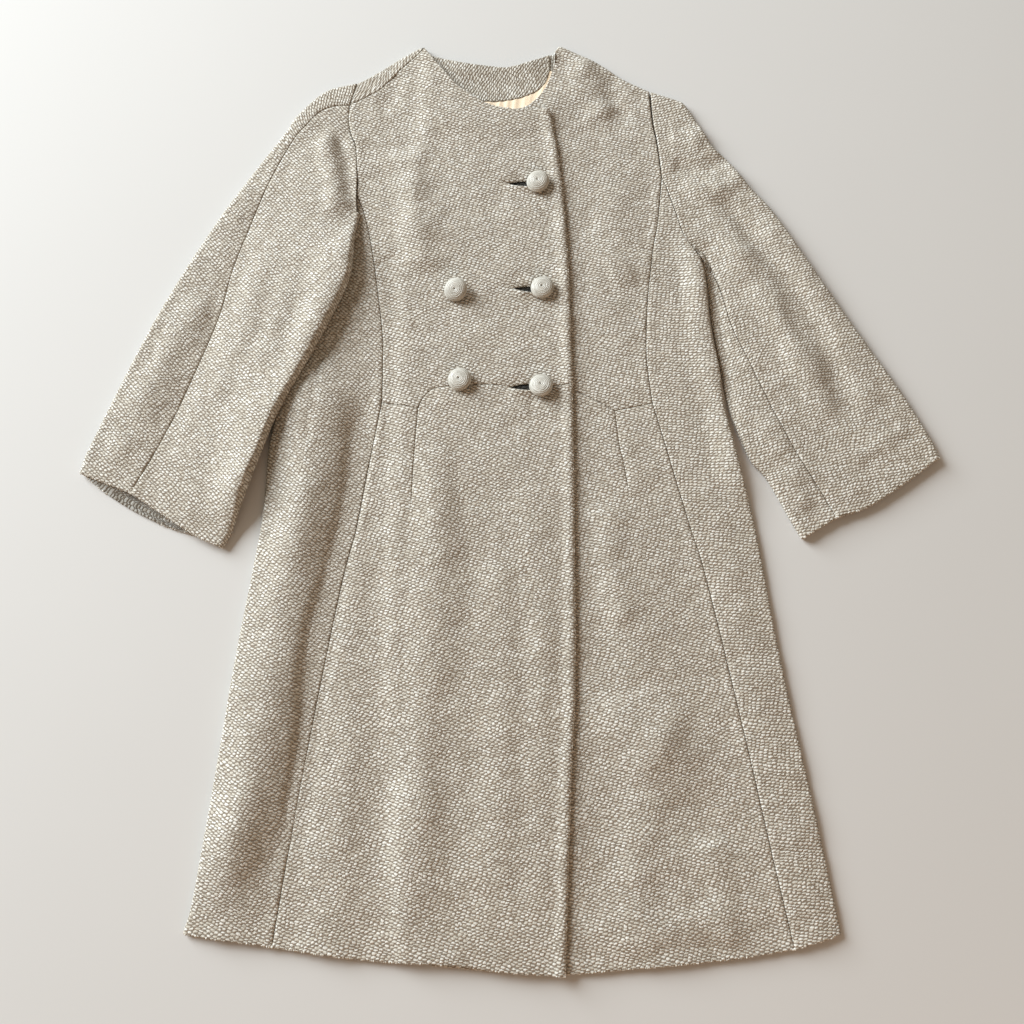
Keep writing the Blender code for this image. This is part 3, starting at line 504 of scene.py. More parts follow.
def faceOutward(spots, corners, cornerFlats, known, up):
    # Turns all faces the same way, with the known face up or down, and gives vertex normals
    mesh = bpy.data.meshes.new("trial")
    mesh.from_pydata(spots, [], corners)
    work = bmesh.new()
    work.from_mesh(mesh)
    bmesh.ops.recalc_face_normals(work, faces=work.faces)
    work.to_mesh(mesh)
    work.free()
    turned = np.empty(len(corners) * 4, np.int32)
    mesh.loops.foreach_get("vertex_index", turned)
    turned = turned.reshape(-1, 4)
    normals = np.empty(len(spots) * 3)
    mesh.vertex_normals.foreach_get("vector", normals)
    normals = normals.reshape(-1, 3)
    bpy.data.meshes.remove(mesh)
    if (normals[turned[known]].mean(0)[2] > 0) != up:
        turned = turned[:, ::-1]
        normals = -normals
    order = np.argmax(turned[:, :, None] == corners[:, None, :], axis=2)
    cornerFlats = np.take_along_axis(cornerFlats, order[:, :, None], axis=1)
    return normals, turned, cornerFlats


def turnGrain(flat, grain):
    # Rows run at an angle on the cloth, which may swing round between two heights, and bend as u^2
    low, high, swing = grain.get("swing", (0, 1, 0))
    angle = np.radians(grain["turn"] + swing * ease(low, high, flat[..., 1]))
    x = flat[..., 0] - grain["middle"][0]
    y = flat[..., 1] - grain["middle"][1]
    u = x * np.cos(angle) + y * np.sin(angle)
    v = y * np.cos(angle) - x * np.sin(angle)
    v = v - grain.get("bend", 0.0) * u * u / 2000    # "bend" is one over the bend's radius in metres
    return np.stack([u, v], axis=-1)


def clothPiece(piece, grids, up=True, rimNubs=None, extra=None, wall=cloth, paintedShading=None):
    # Outer and inner skins a cloth's thickness apart, which meet at the rim. Both rise with the
    # creases; in a trough the inner one stops at the layer below, and the outer one goes on
    sheet = shapeCloth(grids, up, piece["folds"], wall)
    spots, normals = sheet["spots"], sheet["normals"]
    detail = sheet["detail"]
    if extra is not None:
        detail = detail + extra(sheet)
    lift = np.zeros_like(spots)
    under = np.zeros_like(spots)
    air = clothForm["airBelow"]["sleeve" if piece["folds"].startswith("sleeve") else "body"]
    lift[:, 2] = np.maximum(detail, -air - clothForm["thinnest"] * wall) if up else detail
    under[:, 2] = np.maximum(detail, -air) if up else detail
    outer = spots + lift - normals * sheet["sink"][:, None]
    inner = spots + under - normals * (wall - sheet["sink"])[:, None]
    count = len(spots)
    onRim = sheet["onRim"]
    innerIndex = np.full(count, -1)
    innerIndex[~onRim] = count + np.arange((~onRim).sum())
    innerIndex[onRim] = np.flatnonzero(onRim)
    places = np.concatenate([outer, inner[~onRim]])
    faces = np.concatenate([sheet["corners"], innerIndex[sheet["corners"]][:, ::-1]])
    uv = turnGrain(np.concatenate([sheet["flats"], sheet["flats"][:, ::-1]]), piece["grain"])
    # Painted shade, 0 to 1, goes into the mark as a negative value; the nubs' loose yarn gets 1
    paintedShade = paintedShading(spots[:, 0], spots[:, 1]) if paintedShading else np.zeros(count)
    yarnEndAndShadeMark = np.concatenate([-paintedShade, -paintedShade[~onRim]])
    tris = np.empty((0, 3), int)
    nubUv = np.empty((0, 2))
    if rimNubs:
        nubs, tris, nubUv = nubsOnRim(sheet, outer, rimNubs)
        tris = tris + len(places)
        places = np.concatenate([places, nubs])
        yarnEndAndShadeMark = np.concatenate([yarnEndAndShadeMark, np.ones(len(nubs))])
    made = addPiece(piece["name"], places, faces, uv, tris, nubUv, yarnEndAndShadeMark)
    made.data.materials.append(finishes[piece.get("slot", "wool")])
    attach(made, "root")
    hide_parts(piece["node"])


# Nubs of yarn along the rims, in millimetres: each has a low and a high value
rimNub = {
    "pitch": 1.9, "along": (0.2, 0.8), "level": (-0.9, 1.0), "sunk": (0.35, 1.0), "lean": (-0.7, 0.7),
    "long": (1.1, 1.7), "wide": (0.8, 1.25), "tall": (0.75, 1.05), "ring": 0.55, "grain": (-400, 400),
}


def nubBall():
    # A low ball: a top, two rings of six at equal heights above and below the middle, a bottom
    ring = np.arange(6) * math.pi / 3
    ball = [[[0, 0, 1]]]
    for level in (rimNub["ring"], -rimNub["ring"]):
        reach = math.sqrt(1 - level ** 2)
        ball.append(np.column_stack([reach * np.cos(ring), reach * np.sin(ring), np.full(6, level)]))
    faces = [(0, 1 + k, 1 + (k + 1) % 6) for k in range(6)]
    faces += [(1 + k, 7 + k, 7 + (k + 1) % 6) for k in range(6)]
    faces += [(1 + k, 7 + (k + 1) % 6, 1 + (k + 1) % 6) for k in range(6)]
    faces += [(13, 7 + (k + 1) % 6, 7 + k) for k in range(6)]
    return np.vstack(ball + [[[0, 0, -1]]]), np.array(faces)


def nubsOnRim(sheet, outer, keepRim):
    # Leaning balls of uneven size along the rim's edges that keepRim accepts
    rim = sheet["rimEdges"]
    middle = outer[rim].mean(1)
    keep = keepRim(middle[:, 0], middle[:, 1])
    rim = rim[keep]
    a, b = outer[rim[:, 0]], outer[rim[:, 1]]
    length = np.linalg.norm(b - a, axis=1)
    draw = np.random.default_rng(len(rim))
    count = np.maximum(1, np.round(length / rimNub["pitch"])).astype(int)
    which = np.repeat(np.arange(len(rim)), count)
    part = (np.arange(len(which)) - np.repeat(np.cumsum(count) - count, count)
            + draw.uniform(*rimNub["along"], len(which))) / count[which]
    centre = a[which] * (1 - part[:, None]) + b[which] * part[:, None]
    tangent = (b - a)[which]
    tangent /= np.linalg.norm(tangent, axis=1)[:, None]
    up = sheet["normals"][rim].mean(1)[which]
    up /= np.maximum(np.linalg.norm(up, axis=1), 1e-6)[:, None]
    out = np.cross(tangent, up)
    inside = insideWay(sheet, rim)[which]
    out *= -np.sign((out * inside).sum(1))[:, None]
    total = len(which)
    level, sunk, long, wide, tall, lean = (
        draw.uniform(*rimNub[key], total)[:, None]
        for key in ("level", "sunk", "long", "wide", "tall", "lean"))
    centre = centre - out * sunk + up * level
    axisA = (out * np.cos(lean) + tangent * np.sin(lean)) * long
    axisB = (tangent * np.cos(lean) - out * np.sin(lean)) * wide
    axisC = up * tall
    turn = np.sign(np.einsum("ij,ij->i", np.cross(axisA, axisB), axisC))
    axisC = axisC * turn[:, None]
    ball, faces = nubBall()
    spots = (centre[:, None] + ball[None, :, :1] * axisA[:, None]
             + ball[None, :, 1:2] * axisB[:, None] + ball[None, :, 2:] * axisC[:, None])
    tris = (faces[None] + len(ball) * np.arange(total)[:, None, None]).reshape(-1, 3)
    uv = np.repeat(draw.uniform(*rimNub["grain"], (total, 2)), len(ball), axis=0)
    return spots.reshape(-1, 3), tris, uv


def insideWay(sheet, rim):
    # From each rim edge towards the middle of the face that has it
    corners = sheet["corners"]
    spots = sheet["spots"]
    size = len(spots)
    ways = faceLines(corners)
    owner = np.tile(np.arange(len(corners)), 4)
    keys = ways[:, 0].astype(np.int64) * size + ways[:, 1]
    order = np.argsort(keys)
    wanted = rim[:, 0].astype(np.int64) * size + rim[:, 1]
    face = owner[order[np.searchsorted(keys[order], wanted)]]
    return spots[corners[face]].mean(1) - spots[rim].mean(1)


def addPiece(name, places, quads, uv, tris, nubUv, yarnEndAndShadeMark):
    # Puts the arrays into a mesh in metres, with its grain map and the mark of loose yarn and of painted
    # shade
    mesh = bpy.data.meshes.new(name)
    places = (places + planMiddle) * mm
    places[:, 2] = np.maximum(places[:, 2], 0.0)    # nothing lies below the surface
    loops = np.concatenate([quads.reshape(-1), tris.reshape(-1)]).astype(np.int32)
    mesh.vertices.add(len(places))
    mesh.vertices.foreach_set("co", places.reshape(-1))
    mesh.loops.add(len(loops))
    mesh.loops.foreach_set("vertex_index", loops)
    starts = np.concatenate([4 * np.arange(len(quads)),
                             4 * len(quads) + 3 * np.arange(len(tris))]).astype(np.int32)
    mesh.polygons.add(len(starts))
    mesh.polygons.foreach_set("loop_start", starts)
    mesh.update(calc_edges=True)
    layer = mesh.uv_layers.new(name="grain")
    flat = uv.reshape(-1, 2)
    if len(tris):
        first = len(places) - len(nubUv)
        flat = np.concatenate([flat, nubUv[tris.reshape(-1) - first]])
    layer.data.foreach_set("uv", (flat * mm).reshape(-1))
    yarnEndAndShade = mesh.attributes.new("yarnEndAndPaintedShade", "FLOAT", "POINT")
    yarnEndAndShade.data.foreach_set("value", yarnEndAndShadeMark.astype(np.float32))
    mesh.polygons.foreach_set("use_smooth", np.ones(len(starts), bool))
    mesh.validate()
    made = bpy.data.objects.new(name, mesh)
    bpy.context.collection.objects.link(made)
    return made


class Wire:
    # A socket of a material, with arithmetic that adds Math nodes
    def __init__(self, tree, socket):
        self.tree = tree
        self.socket = socket

    def node(self, kind, settings=None, sockets=None, out=0):
        # A new node with its settings, and its sockets joined to wires or set to values
        made = self.tree.nodes.new(kind)
        for key, value in (settings or {}).items():
            setattr(made, key, value)
        for key, value in (sockets or {}).items():
            if isinstance(value, Wire):
                self.tree.links.new(value.socket, made.inputs[key])
            else:
                made.inputs[key].default_value = value
        return Wire(self.tree, made.outputs[out])

    def into(self, shader, name):
        # Joins this wire to a socket of the shader
        self.tree.links.new(self.socket, shader.inputs[name])

    def math(self, operation, *values):
        return self.node("ShaderNodeMath", {"operation": operation}, dict(enumerate(values)))

    def __add__(self, other):
        return self.math("ADD", self, other)

    __radd__ = __add__

    def __sub__(self, other):
        return self.math("SUBTRACT", self, other)

    def __rsub__(self, other):
        return self.math("SUBTRACT", other, self)

    def __mul__(self, other):
        return self.math("MULTIPLY", self, other)

    __rmul__ = __mul__

    def __truediv__(self, other):
        return self.math("DIVIDE", self, other)


def newMaterial(name, fixed):
    # A Principled shader with its fixed values set on its own sockets
    made = bpy.data.materials.new(name)
    made.use_nodes = True
    tree = made.node_tree
    shader = tree.nodes["Principled BSDF"]
    for key, value in fixed.items():
        shader.inputs[key].default_value = value
    return made, shader, Wire(tree, None)


def mixColor(wire, factor, first, second):
    # first where the factor is 0, second where it is 1
    sockets = {0: factor, 6: first, 7: second}
    return wire.node("ShaderNodeMix", {"data_type": "RGBA"}, sockets, 2)


def noise(wire, place, settings, out=0):
    # Soft noise over a place; its output 0 is a height and 1 a colour
    return wire.node("ShaderNodeTexNoise", None, {"Vector": place, **settings}, out)


def colorParts(wire, color, count):
    # The first parts of a colour, each 0 to 1
    return [wire.node("ShaderNodeSeparateColor", None, {0: color}, k) for k in range(count)]


def placeParts(wire, place, count):
    # The first coordinates of a place
    return [wire.node("ShaderNodeSeparateXYZ", None, {0: place}, k) for k in range(count)]


def grainMap(wire):
    # The flat cloth's coordinates in metres, turned to the weave
    return wire.node("ShaderNodeUVMap", {"uv_map": "grain"})


def ramp(wire, value, low, high, start=0.0, end=1.0, kind="LINEAR"):
    # From start to end while the value goes from low to high
    sockets = {0: value, 1: low, 2: high, 3: start, 4: end}
    return wire.node("ShaderNodeMapRange", {"interpolation_type": kind}, sockets)


def bumpInto(shader, height, strength, distance):
    # Relief from a height, whose top is distance metres up
    bump = height.node("ShaderNodeBump", None,
                       {"Height": height, "Strength": strength, "Distance": distance})
    bump.into(shader, "Normal")


wool = {
    "rowPitch": 3.0, "nubPitch": 4.35,        # millimetres from nub to nub
    "halfLong": 0.61, "halfTall": 0.45,       # a nub's half sizes, as shares of those
    "longLot": (0.8, 0.36), "tallLot": (0.82, 0.36),    # their least share, and what lots add
    "tilt": 0.30,                             # how much a nub leans against its row
    "rowShift": 0.55, "astray": (0.24, 0.2), "ragged": 0.5,
    "broadSway": (5.0, 4.5), "closeSway": (2.6, 1.2),    # millimetres along and across the rows
    "broadNoise": {"Scale": 38.0, "Detail": 1.0}, "closeNoise": {"Scale": 170.0, "Detail": 1.0},
    "raggedNoise": {"Scale": 520.0, "Detail": 1.0},
    "fuzzNoise": {"Scale": 470.0, "Detail": 3.0, "Roughness": 0.8},
    "patchNoise": {"Scale": 14.0, "Detail": 2.0},
    # The gap colour is painted shade between the nubs, and the tip colour a painted highlight on their
    # tops
    "gap": (0.258, 0.212, 0.162, 1), "yarn": (0.522, 0.479, 0.402, 1),
    "tip": (0.765, 0.745, 0.685, 1),
    "tipHeight": (0.58, 0.74, 0.5), "tipFrom": (0.6, 1.15), "tipMost": 0.9,
    "light": (0.49, 0.92, 0.14), "shadeMost": 0.93, "looseDome": 0.85,
    "relief": 0.0010, "fuzzRelief": 0.4,
}


def woolMaterial():
    # Rows of leaning ovals of yarn over a gap coloured in painted shade, with a painted highlight on their
    # tops. In a cell of the weave, with a and b the place in it over the oval's half sizes, the yarn's
    # height is sqrt(1 - a^2 - b^2)
    made, shader, wire = newMaterial("oatmealWool", {
        "Roughness": 0.93, "Sheen Weight": 0.12, "Sheen Roughness": 0.5, "Specular IOR Level": 0.25})
    grain = grainMap(wire)
    # The attribute is 1 on loose yarn and negative where shade is painted
    yarnEndAndShade = wire.node("ShaderNodeAttribute", {"attribute_name": "yarnEndAndPaintedShade"}, {}, 2)
    broadX, broadY = colorParts(wire, noise(wire, grain, wool["broadNoise"], 1), 2)
    closeX, closeY = colorParts(wire, noise(wire, grain, wool["closeNoise"], 1), 2)
    raggedX, raggedY = colorParts(wire, noise(wire, grain, wool["raggedNoise"], 1), 2)
    x, y = placeParts(wire, grain, 2)
    x = x * 1000 + (broadX - 0.5) * wool["broadSway"][0] + (closeX - 0.5) * wool["closeSway"][0]
    y = y * 1000 + (broadY - 0.5) * wool["broadSway"][1] + (closeY - 0.5) * wool["closeSway"][1]
    down = y / wool["rowPitch"]
    row = wire.math("FLOOR", down)
    inRow = down - row - 0.5
    shift = wire.node("ShaderNodeTexWhiteNoise", {"noise_dimensions": "1D"}, {"W": row}, 0)
    across = x / wool["nubPitch"] + shift * wool["rowShift"]
    column = wire.math("FLOOR", across)
    inColumn = across - column - 0.5
    cell = wire.node("ShaderNodeCombineXYZ", None, {0: column, 1: row})
    lot = wire.node("ShaderNodeTexWhiteNoise", {"noise_dimensions": "2D"}, {"Vector": cell}, 1)
    lotA, lotB, lotC = colorParts(wire, lot, 3)
    a = inColumn + (lotA - 0.5) * wool["astray"][0] + (raggedX - 0.5) * wool["ragged"]
    a = a / (wool["halfLong"] * (wool["longLot"][0] + wool["longLot"][1] * lotB))
    b = inRow + (lotB - 0.5) * wool["astray"][1] - inColumn * wool["tilt"]
    b = b + (raggedY - 0.5) * wool["ragged"]
    b = b / (wool["halfTall"] * (wool["tallLot"][0] + wool["tallLot"][1] * lotC))
    dome = wire.math("SQRT", wire.math("MAXIMUM", 1 - a * a - b * b, 0.0))
    dome = wire.math("MAXIMUM", dome, yarnEndAndShade * wool["looseDome"])
    fuzz = noise(wire, grain, wool["fuzzNoise"])
    patch = noise(wire, grain, wool["patchNoise"])
    body = ramp(wire, dome, 0.0, 0.5, kind="SMOOTHSTEP")
    least, more, frayed = wool["tipHeight"]
    # Painted highlight on the nubs' tops, stronger on some nubs than on others
    tip = ramp(wire, dome * (least + more * lotA) + fuzz * frayed - frayed / 2, *wool["tipFrom"],
               end=wool["tipMost"], kind="SMOOTHSTEP")
    color = mixColor(wire, body, wool["gap"], wool["yarn"])
    color = mixColor(wire, tip, color, wool["tip"])
    # Brightness is random tone from fuzz and patches, times the painted shade that negative marks carry
    least, frayed, patchy = wool["light"]
    paintedShading = 1 + wool["shadeMost"] * wire.math("MINIMUM", yarnEndAndShade, 0.0)
    light = (least + frayed * fuzz + patchy * patch) * paintedShading
    color = wire.node("ShaderNodeHueSaturation", None, {"Color": color, "Value": light})
    color.into(shader, "Base Color")
    bumpInto(shader, dome + fuzz * wool["fuzzRelief"], 1.0, wool["relief"])
    return made


satin = {
    "color": (0.86, 0.68, 0.48, 1), "pale": (0.95, 0.79, 0.60, 1),
    "stretch": (2600.0, 260.0, 1.0), "threadShare": 0.45, "softShare": 0.4, "softNoise": 60.0,
    "relief": 0.0002, "strength": 0.35,
}


def satinMaterial():
    # Fine threads from a noise drawn out along them, and soft patches, between two colours
    made, shader, wire = newMaterial("peachSatin", {
        "Roughness": 0.34, "Sheen Weight": 0.2, "Specular IOR Level": 0.6})
    grain = grainMap(wire)
    stretched = wire.node("ShaderNodeMapping", None, {"Vector": grain, "Scale": satin["stretch"]})
    thread = noise(wire, stretched, {"Scale": 1.0})
    soft = noise(wire, grain, {"Scale": satin["softNoise"]})
    tone = thread * satin["threadShare"] + soft * satin["softShare"]
    mixColor(wire, tone, satin["color"], satin["pale"]).into(shader, "Base Color")
    bumpInto(shader, thread, satin["strength"], satin["relief"])
    return made


buttonLook = {
    "color": (0.36, 0.335, 0.28, 1), "pale": (0.60, 0.575, 0.51, 1), "paintedDark": (0.10, 0.085, 0.07, 1),
    "ringNoise": 1500, "sideNoise": 120, "fineScale": 3.4, "ringShare": 0.65, "tone": (0.36, 0.62),
    "paintedHoleShade": (0.45, 0.8),                       # millimetres from the middle, where the painted shade of its middle hole ends
    "grooves": 3.7, "grooveShare": 0.22, "relief": 0.0006,
}


def buttonMaterial():
    # Rings of uneven tone from a noise over the radius, which the grain map holds, and a sine of it;
    # painted shade darkens the hole at the middle
    made, shader, wire = newMaterial("turnedButton", {"Roughness": 0.38, "Specular IOR Level": 0.5})
    radius = placeParts(wire, grainMap(wire), 2)[1]
    x, y = placeParts(wire, wire.node("ShaderNodeTexCoord", None, {}, 3), 2)
    turned = wire.node("ShaderNodeCombineXYZ", None, {
        0: radius * buttonLook["ringNoise"], 1: x * buttonLook["sideNoise"],
        2: y * buttonLook["sideNoise"]})
    rings = noise(wire, turned, {"Scale": 1.0, "Detail": 2.0})
    fine = noise(wire, turned, {"Scale": buttonLook["fineScale"], "Detail": 2.0})
    mixed = rings * buttonLook["ringShare"] + fine * (1 - buttonLook["ringShare"])
    tone = ramp(wire, mixed, *buttonLook["tone"])
    color = mixColor(wire, tone, buttonLook["color"], buttonLook["pale"])
    paintedHoleShade = ramp(wire, radius * 1000, *buttonLook["paintedHoleShade"], start=1.0, end=0.0)
    mixColor(wire, paintedHoleShade, color, buttonLook["paintedDark"]).into(shader, "Base Color")
    groove = wire.math("SINE", radius * 1000 * buttonLook["grooves"])
    bumpInto(shader, rings + buttonLook["grooveShare"] * groove, 1.0, buttonLook["relief"])
    return made


finishes = {"wool": woolMaterial(), "satin": satinMaterial(), "button": buttonMaterial()}
print("materials made")


def sizeOf(table):
    # The length of the curve through a table's points
    return runAlong(curve(table, 40))[-1]


def steps(*tables):
    # How many mesh cells the curves' mean length takes
    return max(2, int(round(np.mean([sizeOf(table) for table in tables]) / build["cell"])))


def bodicePiece(piece, side, floor, wraps, rimNubs, extra, slits):
    # A front from shoulder to waist; where it wraps, its shoulder turns over the fold
    shoulderSteps = steps(side["shoulder"])
    neckSteps = steps(side["neck"])
    bottomTables = [side["pocketTop"], side["waistCorner"], side["waist"]]
    lengths = np.array([sizeOf(table) for table in bottomTables])
    total = shoulderSteps + neckSteps
    counts = np.maximum(2, np.round(total * lengths / lengths.sum())).astype(int)
    counts[2] += total - counts.sum()
    rowsUpper = steps(side["armhole"])
    rowsLower = steps(side["princessUpper"])
    top = join(curve(side["shoulder"], shoulderSteps), curve(side["neck"], neckSteps))
    bottom = join(*(curve(table, count) for table, count in zip(bottomTables, counts)))
    start = join(curve(side["armhole"], rowsUpper), curve(side["princessUpper"], rowsLower))
    end = curve(side["frontUpper"], rowsUpper + rowsLower)
    if wraps:
        outline = top[:shoulderSteps + 1].copy()
        way = inward(outline, leftChest)
        height = floor(outline[:, 0], outline[:, 1]) + cloth
        top[:shoulderSteps + 1] += way * (height / 2)[:, None]
        tail = np.linspace(1, 0, build["shoulderTail"] + 2)[1:-1, None] ** 2
        after = slice(shoulderSteps + 1, shoulderSteps + 1 + build["shoulderTail"])
        top[after] += way[-1] * height[-1] / 2 * tail
        start = start + (top[0] - start[0]) * np.linspace(1, 0, len(start))[:, None] ** 4
    sides = ["start", "bottom"] if wraps else ["start", "bottom", "top"]
    plan = trim(between(top, bottom, start, end), build["seamGap"] / 2, sides)
    rows = addLines(plan, (True, True), 0)
    columns = addLines(plan, (True, True), 1)
    cuts = []
    for button in slits[:2]:
        near = np.abs(plan[:, :, 0] - 0.5 * (button["slit"] + button["x"])).argmin(1)
        heights = plan[np.arange(len(plan)), near, 1]
        row = int(np.abs(heights - button["y"]).argmin())
        cell = abs(heights[row + 1] - heights[row])
        extraRows = np.array(build["edgeLines"]) / cell
        rows = np.unique(np.concatenate([rows, row + extraRows, row - extraRows]))
        cuts.append((row, button))
    plan = refine(plan, rows, columns)
    bands = []
    band, first = plan, 0
    for row, button in cuts:
        at = int(np.flatnonzero(rows == row)[0]) - first
        bands.append(partAtSlit(band, at, button, 1)[:at + 1])
        band, first = partAtSlit(band, at, button, -1)[at:], first + at
    bands.append(partAtSlit(band, len(band) - 1, slits[2], 1) if slits else band)
    grids = [faceOn(band, floor) for band in bands]
    if wraps:
        onShoulder = columns <= shoulderSteps
        places = columns[onShoulder]
        stripWay = readAt(way, np.minimum(places, shoulderSteps - 1e-6))
        stripHeight = np.interp(places, np.arange(shoulderSteps + 1), height)
        tangent = plan[0][onShoulder]
        outer, flat = foldPoints(tangent, stripWay, np.zeros(len(places)), stripHeight,
                                 build["shoulderFlange"])
        strip = (grids[0][0][0][onShoulder][:, None], tangent[:, None])
        grids.append(beside(strip, (outer, flat)))
    clothPiece(piece, grids, True, rimNubs, extra, paintedShading=None if slits else paintedShadeUnderSlits)


# A pocket line's groove: where it closes, how deep the seam is, and how far it dips round it
pocketGroove = {"closes": (-14, 10), "pinch": 1.9, "dip": 0.5, "dipReach": 4.0}


def skirtPiece(piece, side, floor, rimNubs, extra, hasSlit):
    # A front from waist to hem: the part beside the pocket line, and the rest of it
    rowCount = steps(side["pocketLine"])
    line = curve(side["pocketLine"], rowCount)
    start = curve(side["princessLower"], rowCount)
    end = curve(side["frontLower"], rowCount)
    pocketCount = steps(side["pocketTop"], side["hemPocket"])
    cornerCount = steps(side["waistCorner"])
    waistCount = steps(side["waist"])
    pocket = between(curve(side["pocketTop"], pocketCount), curve(side["hemPocket"], pocketCount),
                     start, line)
    top = join(curve(side["waistCorner"], cornerCount), curve(side["waist"], waistCount))
    front = between(top, curve(side["hemFront"], cornerCount + waistCount), line, end)
    pocket = trim(pocket, build["seamGap"] / 2, ["start", "top"])
    front = trim(front, build["seamGap"] / 2, ["top"])
    front[:, 0] = pocket[:, -1]
    rows = addLines(pocket, (True, True), 0)
    pocket = refine(pocket, rows, addLines(pocket, (True, True), 1))
    front = refine(front, rows, addLines(front, (True, True), 1))
    if hasSlit:
        front = partAtSlit(front, 0, slitButtons[2], -1)
    grids = [faceOn(pocket, floor), faceOn(front, floor)]
    lineDown = curve(side["pocketLine"], 120)

    def groove(sheet):
        # The pocket line is a seam's groove, which closes where the pocket ends
        spots = sheet["spots"]
        gap = nearLine(spots[:, 0], spots[:, 1], lineDown)[0]
        low, high = pocketGroove["closes"]
        opened = ease(side["pocketEnd"] + low, side["pocketEnd"] + high, spots[:, 1])
        over = np.clip(1 - np.abs(gap) / build["edgeRound"], 0.0, 1.0)
        pinch = -pocketGroove["pinch"] * (1 - np.sqrt(1 - over ** 2))
        pinch -= pocketGroove["dip"] * np.exp(-(gap / pocketGroove["dipReach"]) ** 2)
        return pinch * opened + extra(sheet)

    clothPiece(piece, grids, True, rimNubs, groove, paintedShading=None if hasSlit else paintedShadeUnderSlits)


def sidePiece(piece, side, rimNubs, extra):
    # From the princess seam round the fold to the side seam underneath
    upper = steps(side["princessUpper"])
    lower = steps(side["princessLower"])
    edge = curve(side["bodyEdge"], upper + lower)
    start = join(curve(side["princessUpper"], upper), curve(side["princessLower"], lower))
    way = inward(edge, (0, 0))
    height = frontFloor(edge[:, 0], edge[:, 1]) + cloth
    end = edge + way * (height / 2)[:, None]
    across = steps(side["underarm"], side["hemSide"])
    top = endAt(curve(side["underarm"], across), end[0])
    bottom = endAt(curve(side["hemSide"], across)[::-1], end[-1])
    plan = trim(between(respace(top, across), respace(bottom, across), start, end, decay=3),
                build["seamGap"] / 2, ["start", "top"])
    plan[0, -1] = end[0]
    rows = addLines(plan, (True, True), 0)
    plan = refine(plan, rows, addLines(plan, (True, False), 1))
    way = readAt(way, rows)
    height = readAt(height, rows)
    face = faceOn(plan, frontFloor)
    face[0][:, -1, 2] = height
    fold = foldPoints(plan[:, -1], way, np.zeros(len(way)), height, build["sideFlange"])
    clothPiece(piece, [beside(face, fold)], True, rimNubs, extra)


def seamBelow(side):
    # The side seam on the underside, as the back sees it
    edge = curve(side["bodyEdge"], backRows["side"])
    way = inward(edge, (0, 0))
    height = frontFloor(edge[:, 0], edge[:, 1]) + cloth
    return edge + way * (height / 2 + build["sideFlange"] + build["seamGap"])[:, None]


neckRoll = {"height": 3.5, "up": (450, 480), "fromRight": (-86, -55), "fromLeft": (46, 20)}


def neckRise(sheet):
    # The back of the neck rises towards its edge
    x, y = sheet["spots"][:, 0], sheet["spots"][:, 1]
    sides = ease(*neckRoll["fromRight"], x) * ease(*neckRoll["fromLeft"], x)
    return neckRoll["height"] * ease(*neckRoll["up"], y) * sides


# The back's edges, seen from the coat's face
backEdges = {
    "shoulderRight": {"x": [-176, -166, -134, -101], "y": [455, 460, 481, 502]},
    "neck": {"x": [-101, -94, -57, -18, -2, 26, 46, 55], "y": [502, 494, 482, 476, 476, 485, 496, 502]},
    "armholeRight": {"x": [-176, -184, -184, -175, -172, -172, -175, -186],
                     "y": [455, 426, 406, 374, 337, 300, 272, 247]},
    "armholeLeft": {"x": [157, 158, 163, 167, 172, 180, 189],
                    "y": [437, 422, 381, 337, 322, 290, 256]},
    "hem": {"x": [-300, -228, -152, -61, -1, 50, 105, 183, 268, 300],
            "y": [-448, -461, -472, -478, -485, -487, -481, -474, -461, -448]},
}
backRows = {"armhole": 30, "side": 130, "shoulder": 16, "neck": 44}
backPanel = {
    "name": "backPanel", "node": "back", "restsOn": [], "flat": (0.64, 0.99), "area": 0.44,
    "folds": "under", "grain": {"turn": 84, "middle": (-140, 450)}, "nubsBelow": -430,
}


